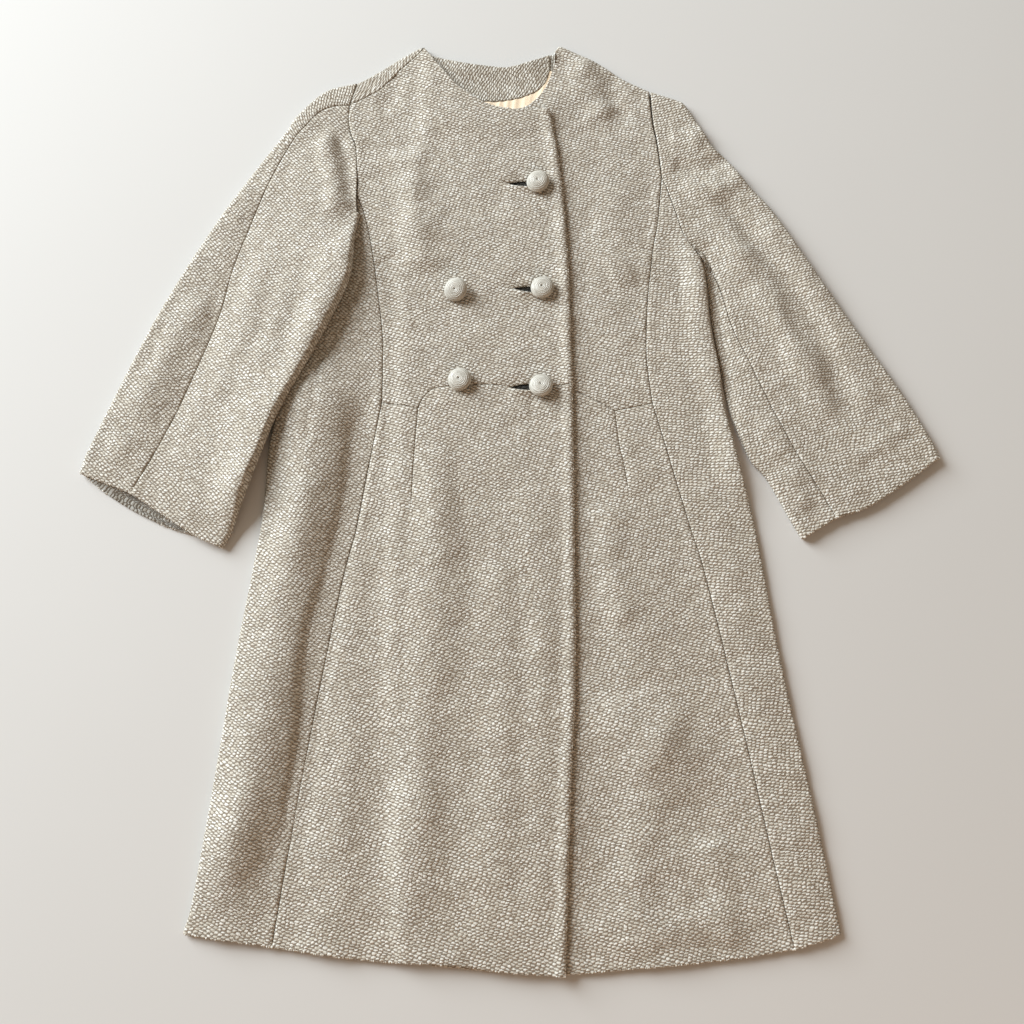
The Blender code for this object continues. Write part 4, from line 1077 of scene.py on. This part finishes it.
def backPiece(piece):
    # Flat on the surface, and turned over the right shoulder as far as its seam
    outline = curve(backEdges["shoulderRight"], backRows["shoulder"])
    seam = curve(right["shoulder"], backRows["shoulder"])
    way = seam - outline
    way /= np.linalg.norm(way, axis=1)[:, None]
    height = frontFloor(seam[:, 0], seam[:, 1]) + cloth
    shoulderLeft = curve(left["shoulder"], backRows["shoulder"])[::-1]
    leftWay = inward(shoulderLeft, leftChest)
    leftHeight = frontFloor(shoulderLeft[:, 0], shoulderLeft[:, 1]) + cloth
    reach = leftHeight / 2 + build["shoulderFlange"] + build["seamGap"]
    shoulderLeft = shoulderLeft + leftWay * reach[:, None]
    tangent = outline + way * (height / 2)[:, None]
    neck = curve(backEdges["neck"], backRows["neck"])
    fade = np.linspace(1, 0, 7)[:, None] ** 2
    neck[:7] += (tangent[-1] - neck[0]) * fade
    neck[-7:] += (shoulderLeft[0] - neck[-1]) * fade[::-1]
    top = join(tangent, neck, shoulderLeft)
    sides = []
    for armhole, side in ((backEdges["armholeRight"], right), (backEdges["armholeLeft"], left)):
        below = seamBelow(side)
        line = curve(armhole, backRows["armhole"])
        line[-1] = below[0]
        sides.append(join(line, below))
    start, end = sides
    start[0] = top[0]
    end[0] = top[-1]
    hem = curve(backEdges["hem"], len(top) - 1)
    hem[0] = start[-1]
    hem[-1] = end[-1]
    plan = trim(between(top, hem, start, end), build["seamGap"], ["start", "end"])
    rows = addLines(plan, (True, True), 0)
    columns = addLines(plan, (True, True), 1)
    plan = refine(plan, rows, columns)
    face = atHeight(plan, 0.0)
    onShoulder = columns <= backRows["shoulder"]
    places = columns[onShoulder]
    count = len(places)
    way = readAt(way, places)
    height = readAt(height, places)
    outline = readAt(outline, places)
    seam = readAt(seam, places)
    shift = plan[0][onShoulder] - (outline + way * (height / 2)[:, None])
    angles = np.radians(np.arange(-75, 91, 15))
    radius = (height / 2)[:, None]
    reach = (radius - radius * np.cos(angles))[..., None]
    place = outline[:, None] + way[:, None] * reach + shift[:, None]
    roll = atHeight(place, height[:, None] / 2 + radius * np.sin(angles))
    last = seam - way * build["seamGap"] / 2
    gap = last - place[:, -1]
    part = np.array([0.25, 0.5, 0.75, 0.9, 0.97, 1.0])
    flatTop = atHeight(place[:, -1:] + gap[:, None] * part[None, :, None], height[:, None])
    outer = np.concatenate([face[0][onShoulder][:, None], roll, flatTop], axis=1)
    arc = radius * (angles + math.pi / 2)
    arc = np.concatenate([np.zeros((count, 1)), arc,
                          arc[:, -1:] + np.linalg.norm(gap, axis=1)[:, None] * part], axis=1)
    flat = plan[0][onShoulder][:, None] - way[:, None] * arc[..., None]
    clothPiece(piece, [(face, plan), (outer, flat)], False, lambda x, y: y < piece["nubsBelow"], neckRise)


# The sleeves' edges and seams, seen from the coat's face
sleeveRight = {
    "outer": {"x": [-176, -212, -244, -257, -323, -384, -441, -452],
              "y": [455, 444, 412, 389, 287, 171, 33, -2]},
    "inner": {"x": [-167, -171, -172, -176, -201, -242, -260, -287, -298],
              "y": [291, 262, 237, 208, 149, 67, 18, -60, -81]},
    "overSeam": {"x": [-184, -200, -216, -230, -247, -275, -303, -316, -345, -373, -396],
                 "y": [426, 425, 418, 402, 378, 314, 230, 171, 89, 22, -24]},
    "underSeam": {"x": [-176, -196, -262, -310, -326], "y": [330, 240, 60, -40, -67]},
    "headOver": {"x": [-184, -176], "y": [426, 455]},
    "headFront": {"x": [-184, -184, -180, -175, -172, -172, -171],
                  "y": [426, 406, 387, 374, 337, 315, 291]},
    "cuffOver": {"x": [-396, -452], "y": [-24, -2]},
    "cuffFront": {"x": [-396, -357, -322, -298], "y": [-24, -49, -71, -81]},
    "headLow": {"x": [-176, -185, -185, -178], "y": [372, 404, 426, 452]},
}
sleeveLeft = {
    "outer": {"x": [157, 187, 198, 224, 241, 267, 294, 358, 412, 437, 449],
              "y": [444, 433, 424, 377, 358, 322, 287, 178, 89, 42, 14]},
    "inner": {"x": [203, 211.5, 214, 215.5, 219.5, 223.5, 227, 231, 239, 250, 266, 292, 299],
              "y": [245, 223, 194, 170, 139, 111, 85, 64, 38, 11, -9, -60, -72]},
    "underSeam": {"x": [203, 223, 236, 250, 267, 285, 304, 320, 335],
                  "y": [247, 213, 162, 128, 87, 46, 8, -21, -50]},
    "overSeam": {"x": [159, 190, 250, 345, 424, 438], "y": [424, 404, 322, 170, 45, 12]},
    "headFront": {"x": [203, 194, 187.5, 180.5, 172.5, 167, 166, 163, 160, 158, 157],
                  "y": [247, 257, 272, 296, 322, 337, 349, 381, 399, 422, 444]},
    "headUnder": {"x": [203, 203], "y": [247, 245]},
    "cuffFront": {"x": [335, 370, 408, 441, 449], "y": [-50, -38, -14, 9, 14]},
    "cuffUnder": {"x": [335, 299], "y": [-50, -72]},
    "headLow": {"x": [163, 168, 181, 203], "y": [381, 337, 296, 245]},
}


paintedCuffShade = {"paintedDark": 0.5, "from": (0.5, 3.0)}


def paintedShadeUnderCuff(x, y):
    # Painted shade on the back of the right cuff, where it shows below its front
    cuff = np.vstack([points(sleeveRight["cuffOver"])[::-1], points(sleeveRight["cuffFront"])[1:]])
    below = np.interp(x, cuff[:, 0], cuff[:, 1]) - y
    return paintedCuffShade["paintedDark"] * ease(*paintedCuffShade["from"], below)


def sleevePiece(piece, table, floor, extra):
    # Half a sleeve: from the seam on top, round a fold, to the seam underneath. The upper layer
    # ends at the seams' curves, the lower one in straight lines from its own seam to the fold
    rowCount = steps(table[piece["fold"]])
    edge = curve(table[piece["fold"]], rowCount)
    way = inward(edge, piece["inside"])
    if "headSpot" in piece:
        step = np.array(piece["headSpot"]) - edge[0]
        way[0] = step / np.linalg.norm(step)
        way[1:6] += (way[0] - way[1:6]) * np.linspace(0.8, 0.1, 5)[:, None]
        way /= np.linalg.norm(way, axis=1)[:, None]
    v = share(edge)
    height = (2 * cloth + build["layerAir"] + build["headPuff"]
              + build["sleevePuff"] * ease(0.0, build["puffLength"], v))
    rest = floor(edge[:, 0], edge[:, 1])
    end = edge + way * (height / 2)[:, None]
    layers = []
    rows = None
    for level, (seamName, count) in enumerate(zip(piece["seams"], piece["cells"])):
        seam = curve(table[seamName], rowCount)
        if level == 0:
            head, cuff = (curve(table[name], 200) for name in piece["ends"])
        else:
            middle = points(table["headLow"]) if piece["lowHead"] else edge[:1]
            head = np.vstack([seam[:1], middle])
            cuff = np.vstack([seam[-1:], edge[-1:]])
        head = endAt(head, end[0])
        cuff = endAt(cuff, end[-1])
        plan = between(respace(head, count), respace(cuff, count), seam, end,
                       decay=build["endBendDecay"])
        plan = trim(plan, build["seamGap"] * (0.5 + level), ["start"])
        plan = trim(plan, build["seamGap"] / 2, ["top"])
        plan[0, -1] = end[0]
        if level == 1 and piece["cuffDrops"]:
            far = build["cuffDrop"] * np.sin(math.pi * share(plan[-1])) ** build["cuffDropRound"]
            shift = plan[-1] - plan[-2]
            shift /= np.linalg.norm(shift, axis=1)[:, None]
            nearCuff = ease(*build["cuffDropFrom"], v)[:, None, None]
            plan = plan + nearCuff * (shift * far[:, None])[None]
        if rows is None:
            rows = addLines(plan, (True, True), 0)
        plan = refine(plan, rows, addLines(plan, (True, False), 1))
        layers.append(plan)
    way = readAt(way, rows)
    height = readAt(height, rows)
    rest = readAt(rest, rows)
    upper, lower = layers
    low = floor(upper[..., 0], upper[..., 1])
    low[:, -1] = rest
    top = (atHeight(upper, low + height[:, None]), upper)
    fold = foldPoints(upper[:, -1], way, rest, height, 0)
    low = floor(lower[..., 0], lower[..., 1])
    low[:, -1] = rest
    under = atHeight(lower, low)[:, ::-1]
    back = lower[:, -1:] - lower
    inside = (back * way[:, None]).sum(-1, keepdims=True) * way[:, None]
    flat = (fold[1][:, -1:] - back + 2 * inside)[:, ::-1]
    bottom = (under[:, 1:], flat[:, 1:])
    cuffs = [table[key] for key in table if key.startswith("cuff")]
    clothPiece(piece, [beside(beside(top, fold), bottom)], True, rimOn(cuffs, build["cuffNubs"]), extra,
               paintedShading=paintedShadeUnderCuff if piece["cuffDrops"] else None)


# Buttons: middle, lean to the left and towards the hem in degrees, and where the slit starts
# and how far it runs down towards the button
buttons = [
    {"name": "buttonTop", "node": "button_top", "x": 29, "y": 327, "lean": (11, 4),
     "slit": -4, "drop": 2.0},
    {"name": "buttonMiddle", "node": "button_middle", "x": 33, "y": 202, "lean": (8, 0),
     "slit": 2, "drop": 2.4},
    {"name": "buttonWaist", "node": "button_waist", "x": 31, "y": 91, "lean": (11, -5),
     "slit": -2, "drop": 0.0},
    {"name": "buttonInnerMiddle", "node": "button_inner_middle", "x": -60, "y": 199, "lean": (13, 13)},
    {"name": "buttonInnerWaist", "node": "button_inner_waist", "x": -55, "y": 98, "lean": (11, 2)},
]
slitButtons = [button for button in buttons if "slit" in button]

# A slit's sizes, and windows along it: where something starts and is full past the slit's far
# end, and where it ends and is still full past the button's middle
slit = {
    "half": 3.5, "reach": 6.0,
    "lip": 2.3, "lipAt": 4.5, "lipHalf": 3.4,
    "hollow": 2.3, "hollowEdge": (5.0, 1.0), "hollowReach": 6.0,
    # The painted shade under a slit fades between the last two distances of this line, and lies in the
    # last window below
    "dimple": 1.1, "dimpleReach": 11, "paintedShadeUpTo": (9.0, 5.5),
    "opens": (-3, 15, 6, 1), "rows": (-10, -2, 14, 6), "lips": (-6, 12, 12, 0), "paintedDark": (-4, 0, 10, 6),
}


def alongSlit(button, x, window):
    # 0 outside the window and 1 in its middle
    start, full, end, stillFull = window
    far = ease(button["slit"] + start, button["slit"] + full, x)
    return far * ease(button["x"] + end, button["x"] + stillFull, x)


def slitHalf(button, x):
    # Half the opening: nothing at its far end, widest beside the shank, closed just past it
    return slit["half"] * alongSlit(button, x, slit["opens"])


def slitLine(button, x):
    # The slit runs down a little towards the button
    part = (x - button["slit"]) / (button["x"] - button["slit"])
    return button["y"] + button["drop"] * (0.5 - part)


def partAtSlit(plan, row, button, sign):
    # Moves the rows beside a slit on to its line and away from it, less and less with distance
    plan = plan.copy()
    x = plan[row, :, 0]
    toLine = (slitLine(button, x) - plan[row, :, 1]) * alongSlit(button, x, slit["rows"])
    gap = np.abs(plan[..., 1] - plan[row, :, 1])
    near = np.exp(-(gap / slit["reach"]) ** 2)
    plan[..., 1] += near * (toLine + sign * slitHalf(button, x))
    return plan


def lips(sheet):
    # The lower lip of each slit stands up, the upper one sinks, and so does the cloth at a button
    x, y = sheet["spots"][:, 0], sheet["spots"][:, 1]
    total = np.zeros(len(x))
    for button in slitButtons:
        along = alongSlit(button, x, slit["lips"])
        below = slitLine(button, x) - y
        above = np.minimum(below, 0.0)
        total += slit["lip"] * along * np.exp(-((below - slit["lipAt"]) / slit["lipHalf"]) ** 2)
        sunk = ease(*slit["hollowEdge"], below) * np.exp(-(above / slit["hollowReach"]) ** 2)
        total -= slit["hollow"] * along * sunk
    for button in buttons:
        off = np.hypot(x - button["x"], y - button["y"])
        total -= slit["dimple"] * np.exp(-(off / slit["dimpleReach"]) ** 4)
    return total


def paintedShadeUnderSlits(x, y):
    # Painted shade on the cloth under a slit, where the shade between the layers falls
    paintedShade = np.zeros(len(x))
    for button in slitButtons:
        near = ease(*slit["paintedShadeUpTo"], np.abs(y - slitLine(button, x)))
        paintedShade = np.maximum(paintedShade, alongSlit(button, x, slit["paintedDark"]) * near)
    return paintedShade


# Rolls and grooves beside edges and seams: how far off they lie, their half width and height
lapRoll = {"off": 4.5, "half": 5.5, "height": 2.7}
pucker = {"off": 4.5, "half": 3.0, "uneven": 0.6, "size": 15, "seed": 31}
dartForm = {"half": 1.9, "fade": (1.02, 0.7), "depth": 1.5}
besideFade = 30


def lapEdge(sheet):
    # The folded front edge is fuller than the rest
    x, y = sheet["spots"][:, 0], sheet["spots"][:, 1]
    line = join(curve(right["frontUpper"], 60), curve(right["frontLower"], 90))
    gap = nearLine(x, y, line)[0]
    off = (np.abs(gap) - lapRoll["off"]) / lapRoll["half"]
    return lapRoll["height"] * np.exp(-off ** 2) + lips(sheet)


def seamPucker(tables, height):
    # The cloth rises a little beside a seam, unevenly, and is drawn in at it
    lines = [curve(table, 80) for table in tables]

    def rise(sheet):
        x, y = sheet["spots"][:, 0], sheet["spots"][:, 1]
        total = np.zeros(len(x))
        for k, line in enumerate(lines):
            gap = nearLine(x, y, line)[0]
            uneven = 1 + pucker["uneven"] * waves(x, y, pucker["size"], pucker["seed"] + k)
            off = (np.abs(gap) - pucker["off"]) / pucker["half"]
            total += height * uneven * np.exp(-off ** 2)
        return total

    return rise


def alongLine(table, height, reach, low, high):
    # Raises or sinks the cloth beside an edge, between two heights on the plan
    line = curve(table, 80)

    def rise(sheet):
        x, y = sheet["spots"][:, 0], sheet["spots"][:, 1]
        gap = nearLine(x, y, line)[0]
        part = ease(low, low + besideFade, y) * ease(high, high - besideFade, y)
        return height * part * np.exp(-(gap / reach) ** 2)

    return rise


def bustDart(dart):
    # A dart is a narrow groove whose bottom fades at its point
    line = np.array(dart, float)

    def groove(sheet):
        x, y = sheet["spots"][:, 0], sheet["spots"][:, 1]
        gap, along = nearLine(x, y, line)
        depth = dartForm["depth"] * ease(*dartForm["fade"], along)
        return -depth * np.exp(-(gap / dartForm["half"]) ** 2)

    return groove


def addUp(*parts):
    # The sum of several reliefs
    return lambda sheet: sum(part(sheet) for part in parts)


def rimOn(tables, reach):
    # Says which of a rim's edges lie on the named lines
    lines = [curve(table, 60) for table in tables]

    def keep(x, y):
        gaps = [np.abs(nearLine(x, y, line)[0]) for line in lines]
        return np.min(gaps, axis=0) < reach

    return keep


rightNubs = rimOn([right[key] for key in ("neck", "frontUpper", "frontLower", "hemPocket", "hemFront",
                                          "hemSide")], build["edgeNubs"])
leftNubs = rimOn([left[key] for key in ("neck", "hemPocket", "hemFront", "hemSide")], build["edgeNubs"])

backPiece(backPanel)
print("back made")

# Every piece of cloth: its cut size in metres and its area, its creases, and the weave's turn
# in degrees about its middle
leftBodice = {
    "name": "frontLeftBodice", "node": "front_left_bodice", "restsOn": ["back"], "folds": "body",
    "flat": (0.26, 0.41), "area": 0.087, "grain": {"turn": -15, "middle": (110, 300), "bend": 0.8},
    "pucker": 0.4, "dart": [(153, 249), (134, 253), (124, 256)],
}
bodicePiece(leftBodice, left, frontFloor, True, leftNubs,
            addUp(seamPucker([left["armhole"], left["princessUpper"]], leftBodice["pucker"]),
                  bustDart(leftBodice["dart"])), [])

leftSkirt = {
    "name": "frontLeftSkirt", "node": "front_left_skirt", "restsOn": ["back"], "folds": "body",
    "flat": (0.36, 0.59), "area": 0.17, "grain": {"turn": -17, "middle": (150, -200)}, "pucker": 0.5,
}
skirtPiece(leftSkirt, left, frontFloor, leftNubs,
           seamPucker([left["princessLower"]], leftSkirt["pucker"]), False)

leftSide = {
    "name": "sideFrontLeft", "node": "side_front_left", "restsOn": ["back"], "folds": "body",
    "flat": (0.11, 0.80), "area": 0.053, "grain": {"turn": -6, "middle": (220, -100)}, "pucker": 0.4,
}
sidePiece(leftSide, left, leftNubs,
          seamPucker([left["princessUpper"], left["princessLower"]], leftSide["pucker"]))

rightBodice = {
    "name": "frontRightBodice", "node": "front_right_bodice", "restsOn": ["front_left_bodice"],
    "folds": "body", "flat": (0.25, 0.43), "area": 0.077,
    "grain": {"turn": -20, "middle": (-40, 200), "bend": 0.3},
    "pucker": 0.4, "dart": [(-149, 228), (-138, 235), (-122, 247)],
    "armholeRoll": (1.6, 12, 270, 425),       # height, reach, and between which heights on the plan
}
bodicePiece(rightBodice, right, lapFloor, False, rightNubs,
            addUp(lapEdge, seamPucker([right["armhole"], right["princessUpper"]], rightBodice["pucker"]),
                  alongLine(right["armhole"], *rightBodice["armholeRoll"]),
                  bustDart(rightBodice["dart"])), slitButtons)

rightSkirt = {
    "name": "frontRightSkirt", "node": "front_right_skirt", "restsOn": ["front_left_skirt"],
    "folds": "body", "flat": (0.29, 0.585), "area": 0.139,
    "grain": {"turn": -22, "middle": (-60, -200)}, "pucker": 0.6,
}
skirtPiece(rightSkirt, right, lapFloor, rightNubs,
           addUp(lapEdge, seamPucker([right["princessLower"]], rightSkirt["pucker"])), True)

rightSide = {
    "name": "sideFrontRight", "node": "side_front_right", "restsOn": ["back"], "folds": "body",
    "flat": (0.15, 0.80), "area": 0.072, "grain": {"turn": -33, "middle": (-220, -150), "bend": 0.6},
    "pucker": 0.6,
}
sidePiece(rightSide, right, rightNubs,
          seamPucker([right["princessUpper"], right["princessLower"]], rightSide["pucker"]))
print("fronts made")

# Half sleeves: "seams" on top and underneath, "ends" at the head and the cuff of the upper
# layer, "cells" across the two layers, and a spot that the head's fold turns towards
rightSleeveFront = {
    "name": "sleeveRightFront", "node": "sleeve_right_front", "restsOn": ["side_front_right"],
    "folds": "sleeveRight", "flat": (0.165, 0.50), "area": 0.061,
    "grain": {"turn": -45, "middle": (-300, 180)},
    "fold": "inner", "inside": (-420, 120), "ends": ("headFront", "cuffFront"), "lowHead": False,
    "seams": ("overSeam", "underSeam"), "cells": (46, 22), "cuffDrops": False, "pucker": 0.3,
    "headSink": (-2.0, 8, 270, 430), "innerRoll": (5.0, 18, -70, 285),
}
sleevePiece(rightSleeveFront, sleeveRight, rightSleeveFloor,
            addUp(seamPucker([sleeveRight["overSeam"]], rightSleeveFront["pucker"]),
                  alongLine(sleeveRight["headFront"], *rightSleeveFront["headSink"]),
                  alongLine(sleeveRight["inner"], *rightSleeveFront["innerRoll"])))

rightSleeveBack = {
    "name": "sleeveRightBack", "node": "sleeve_right_back", "restsOn": [],
    "folds": "sleeveRight", "flat": (0.215, 0.55), "area": 0.091,
    "grain": {"turn": -46, "middle": (-225, 415), "swing": (350, 450, -52)},
    "fold": "outer", "inside": (-200, 0), "ends": ("headOver", "cuffOver"), "lowHead": True,
    "seams": ("overSeam", "underSeam"), "cells": (20, 44), "cuffDrops": True, "pucker": 0.3,
    "headSpot": (-184, 426),
}
sleevePiece(rightSleeveBack, sleeveRight, rightSleeveFloor,
            seamPucker([sleeveRight["overSeam"]], rightSleeveBack["pucker"]))

leftSleeve = {
    "restsOn": [], "folds": "sleeveLeft", "grain": {"turn": 12, "middle": (300, 180), "bend": -0.3},
    "seams": ("underSeam", "overSeam"), "cuffDrops": False, "pucker": 0.3,
    "sideSink": (-4.8, 16, 60, 268),
}
leftSleeveHalves = [
    {**leftSleeve, "name": "sleeveLeftFront", "node": "sleeve_left_front",
     "flat": (0.165, 0.52), "area": 0.06,
     "fold": "outer", "inside": (200, 0), "ends": ("headFront", "cuffFront"), "lowHead": False,
     "cells": (52, 12), "headSpot": (159, 422)},
    {**leftSleeve, "name": "sleeveLeftBack", "node": "sleeve_left_back",
     "flat": (0.155, 0.49), "area": 0.062,
     "fold": "inner", "inside": (420, 120), "ends": ("headUnder", "cuffUnder"), "lowHead": True,
     "cells": (14, 46)},
]
for half in leftSleeveHalves:
    sleevePiece(half, sleeveLeft, flatFloor,
                addUp(seamPucker([sleeveLeft["underSeam"]], half["pucker"]),
                      alongLine(left["bodyEdge"], *half["sideSink"])))
print("sleeves made")

# Edges of the facing and the lining inside the neck
neckEdges = {
    "seam": {"x": [-88, -66, -44, -18, 16, 36, 43], "y": [472, 450, 436, 432, 439, 453, 472]},
    "upper": {"x": [-90, -57, -18, -2, 26, 43], "y": [490, 480, 474.5, 474.5, 483.5, 492]},
    "lower": {"x": [-90, -72, -50, -12, 18, 44, 52, 51],
              "y": [462, 440, 420, 408, 410, 428, 456, 470]},
}
neckInside = {
    "columns": 110, "facingRows": 16, "liningRows": 14,
    "gathers": [(-62, 2.4), (-48, 2.0), (-38, 1.6), (-26, 2.6), (-14, 1.6), (-5, 2.2), (4, 2.0),
                (15, 2.0), (20, 1.4), (32, 2.4), (44, 2.0)],    # place across, and half width
    # The last value is an even painted shade over the whole neck facing
    "gather": 0.9, "fan": 0.004, "fanFrom": (-18, 435), "paintedShade": 0.10,
}
neckFacing = {
    "name": "backNeckFacing", "node": "back_neck_facing", "restsOn": ["back"], "folds": "none",
    "flat": (0.14, 0.055), "area": 0.005, "grain": {"turn": 57, "middle": (-20, 470)},
}
neckLining = {
    "name": "liningGathered", "node": "lining", "restsOn": ["back"], "folds": "none", "slot": "satin",
    "flat": (0.15, 0.035), "area": 0.0034, "grain": {"turn": 0, "middle": (0, 430)},
}


def neckStrip(upper, lower, down, sewn):
    # Rows between two curves, drawn in where they are sewn to each other
    plan = between(upper, lower, respace(np.vstack([upper[0], lower[0]]), down),
                   respace(np.vstack([upper[-1], lower[-1]]), down))
    plan = trim(plan, build["seamGap"] / 2, [sewn])
    return refine(plan, addLines(plan, (True, True), 0), addLines(plan, (True, True), 1))


def gathered(plan):
    # Round ridges that fan out from the neck's middle
    middle, level = neckInside["fanFrom"]
    total = np.zeros(plan.shape[:2])
    for place, half in neckInside["gathers"]:
        fan = place + (plan[..., 1] - level) * (place - middle) * neckInside["fan"]
        total += neckInside["gather"] * np.exp(-((plan[..., 0] - fan) / half) ** 2)
    return total


upperEdge, seamInside, lowerEdge = (curve(neckEdges[key], neckInside["columns"])
                                    for key in ("upper", "seam", "lower"))
plan = neckStrip(upperEdge, seamInside, neckInside["facingRows"], "bottom")
top = cloth + build["seamGap"] + build["facingWall"]
# The neck facing gets that painted shade evenly all over
clothPiece(neckFacing, [(atHeight(plan, top), plan)], True, None, neckRise,
           build["facingWall"], lambda x, y: np.full(np.shape(x), neckInside["paintedShade"]))

plan = neckStrip(seamInside, lowerEdge, neckInside["liningRows"], "top")
top = cloth + build["seamGap"] + build["liningWall"] + gathered(plan)
clothPiece(neckLining, [(atHeight(plan, top), plan)], True, None, neckRise, build["liningWall"])
print("neck made")

# The section is a share of the radius out and a share of the dome up
buttonShape = {
    "radius": 12.5, "dome": 7.8, "shank": 1.9, "washer": 4.0, "clear": -0.3, "bendStart": 0.4, "sides": 72,
    "section": {"x": [0.62, 0.80, 0.93, 0.985, 1.0, 0.985, 0.93, 0.82, 0.70, 0.55, 0.40, 0.24,
                      0.13, 0.075, 0.05, 0.0],
                "y": [0.0, 0.03, 0.10, 0.18, 0.28, 0.42, 0.58, 0.74, 0.85, 0.93, 0.98, 1.0,
                      0.995, 0.97, 0.84, 0.80]},
}


def buttonPiece(row):
    # A section turned round the shank, whose lean grows with height: z drops by x and y times it
    face = float(lapFloor(row["x"], row["y"])) + cloth
    start = face + build["seamGap"]
    if "slit" in row:
        start = float(frontFloor(row["x"], row["y"])) + cloth + build["seamGap"]
    leanX, leanY = (math.radians(angle) for angle in row["lean"])
    drop = buttonShape["radius"] * math.sin(math.hypot(leanX, leanY))
    base = face - start + buttonShape["clear"] + drop
    shank = buttonShape["shank"]
    foot = np.array([[0.0, 0.0], [shank, 0.0], [shank, 0.5 * base], [shank, base],
                     [buttonShape["washer"], base]])
    dome = curve(buttonShape["section"], 60) * (buttonShape["radius"], buttonShape["dome"]) + (0.0, base)
    dome[-1, 0] = 0.0
    profile = np.vstack([foot, dome])
    radius, height = profile[:, :1], profile[:, 1:]
    sides = buttonShape["sides"]
    turn = np.arange(sides)[None] * 2 * math.pi / sides
    part = np.clip((height / base - buttonShape["bendStart"]) / (1 - buttonShape["bendStart"]), 0, 1)
    slopeX, slopeY = -math.sin(leanX) * part, -math.sin(leanY) * part
    flatX, flatY = radius * np.cos(turn), radius * np.sin(turn)
    above = np.maximum(height - base, 0.0)
    x = flatX + slopeX * above + row["x"]
    y = flatY + slopeY * above + row["y"]
    z = start + height - (flatX * slopeX + flatY * slopeY)
    spots = np.stack([x, y, z], axis=-1)
    count = len(profile)
    index = 1 + np.arange((count - 2) * sides).reshape(count - 2, sides)
    after = np.roll(index, -1, axis=1)
    quads = np.stack([index[:-1], after[:-1], after[1:], index[1:]], axis=-1).reshape(-1, 4)
    last = 1 + (count - 2) * sides
    tris = np.concatenate([
        np.column_stack([np.zeros(sides, int), after[0], index[0]]),
        np.column_stack([np.full(sides, last), index[-1], after[-1]])])
    places = np.vstack([spots[0, :1], spots[1:-1].reshape(-1, 3), spots[-1, :1]])
    uvSpots = np.zeros((len(places), 2))
    uvSpots[1:-1, 1] = np.repeat(radius[1:-1, 0], sides)
    made = addPiece(row["name"], places, quads, uvSpots[quads], tris, uvSpots, np.zeros(len(places)))
    made.data.materials.append(finishes["button"])
    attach(made, "root")
    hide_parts(row["node"])


for row in buttons:
    buttonPiece(row)
print("buttons made")

room = {
    "floor": (0.62, 0.605, 0.58, 1), "floorDeeper": 0.965, "floorHalf": 3.0,
    "fill": 0.325, "fillColor": (1.0, 0.85, 0.68),
    "window": {"place": (-3.2, 2.2, 1.95), "size": 2.7, "watts": 408.0, "color": (0.87, 0.945, 1.0)},
    "lamp": {"place": (0.7, -2.4, 1.2), "size": 1.6, "watts": 9.0, "color": (1.0, 0.36, 0.03)},
}


def floorMaterial():
    # A pale colour with faint clouds
    made, shader, wire = newMaterial("paleFloor", {"Roughness": 0.75, "Specular IOR Level": 0.3})
    cloud = noise(wire, wire.node("ShaderNodeTexCoord", None, {}, 3), {"Scale": 3.0, "Detail": 3.0})
    deeper = tuple(room["floorDeeper"] * value for value in room["floor"][:3]) + (1,)
    mixColor(wire, cloud, room["floor"], deeper).into(shader, "Base Color")
    return made


half = room["floorHalf"]
floorMesh = bpy.data.meshes.new("studioFloor")
floorMesh.from_pydata([(-half, -half, 0), (half, -half, 0), (half, half, 0), (-half, half, 0)], [],
                      [(0, 1, 2, 3)])
floorMesh.materials.append(floorMaterial())
studioFloor = bpy.data.objects.new("studioFloor", floorMesh)
bpy.context.collection.objects.link(studioFloor)


def softLight(name):
    # A square light that faces the coat's middle
    data = bpy.data.lights.new(name, "AREA")
    data.shape = "SQUARE"
    data.size = room[name]["size"]
    data.energy = room[name]["watts"]
    data.color = room[name]["color"]
    made = bpy.data.objects.new(name, data)
    made.location = room[name]["place"]
    x, y, z = room[name]["place"]
    made.rotation_euler = (math.atan2(math.hypot(x, y), z), 0.0, math.atan2(-y, -x) - math.pi / 2)
    bpy.context.collection.objects.link(made)


softLight("window")
softLight("lamp")

world = bpy.data.worlds.new("studio")
world.use_nodes = True
world.node_tree.nodes["Background"].inputs["Color"].default_value = room["fillColor"] + (1,)
world.node_tree.nodes["Background"].inputs["Strength"].default_value = room["fill"]
bpy.context.scene.world = world
bpy.context.scene.view_settings.view_transform = "Standard"

view = {"place": (0.0015, -0.246, 0.9805), "tilt": 11.41, "lens": 33.75, "sensor": 36.0}
cameraData = bpy.data.cameras.new("camera")
cameraData.lens = view["lens"]
cameraData.sensor_width = view["sensor"]
cameraData.clip_start = 0.05
camera = bpy.data.objects.new("camera", cameraData)
camera.location = view["place"]
camera.rotation_euler = (math.radians(view["tilt"]), 0.0, 0.0)
bpy.context.collection.objects.link(camera)
bpy.context.scene.camera = camera
print("room made")
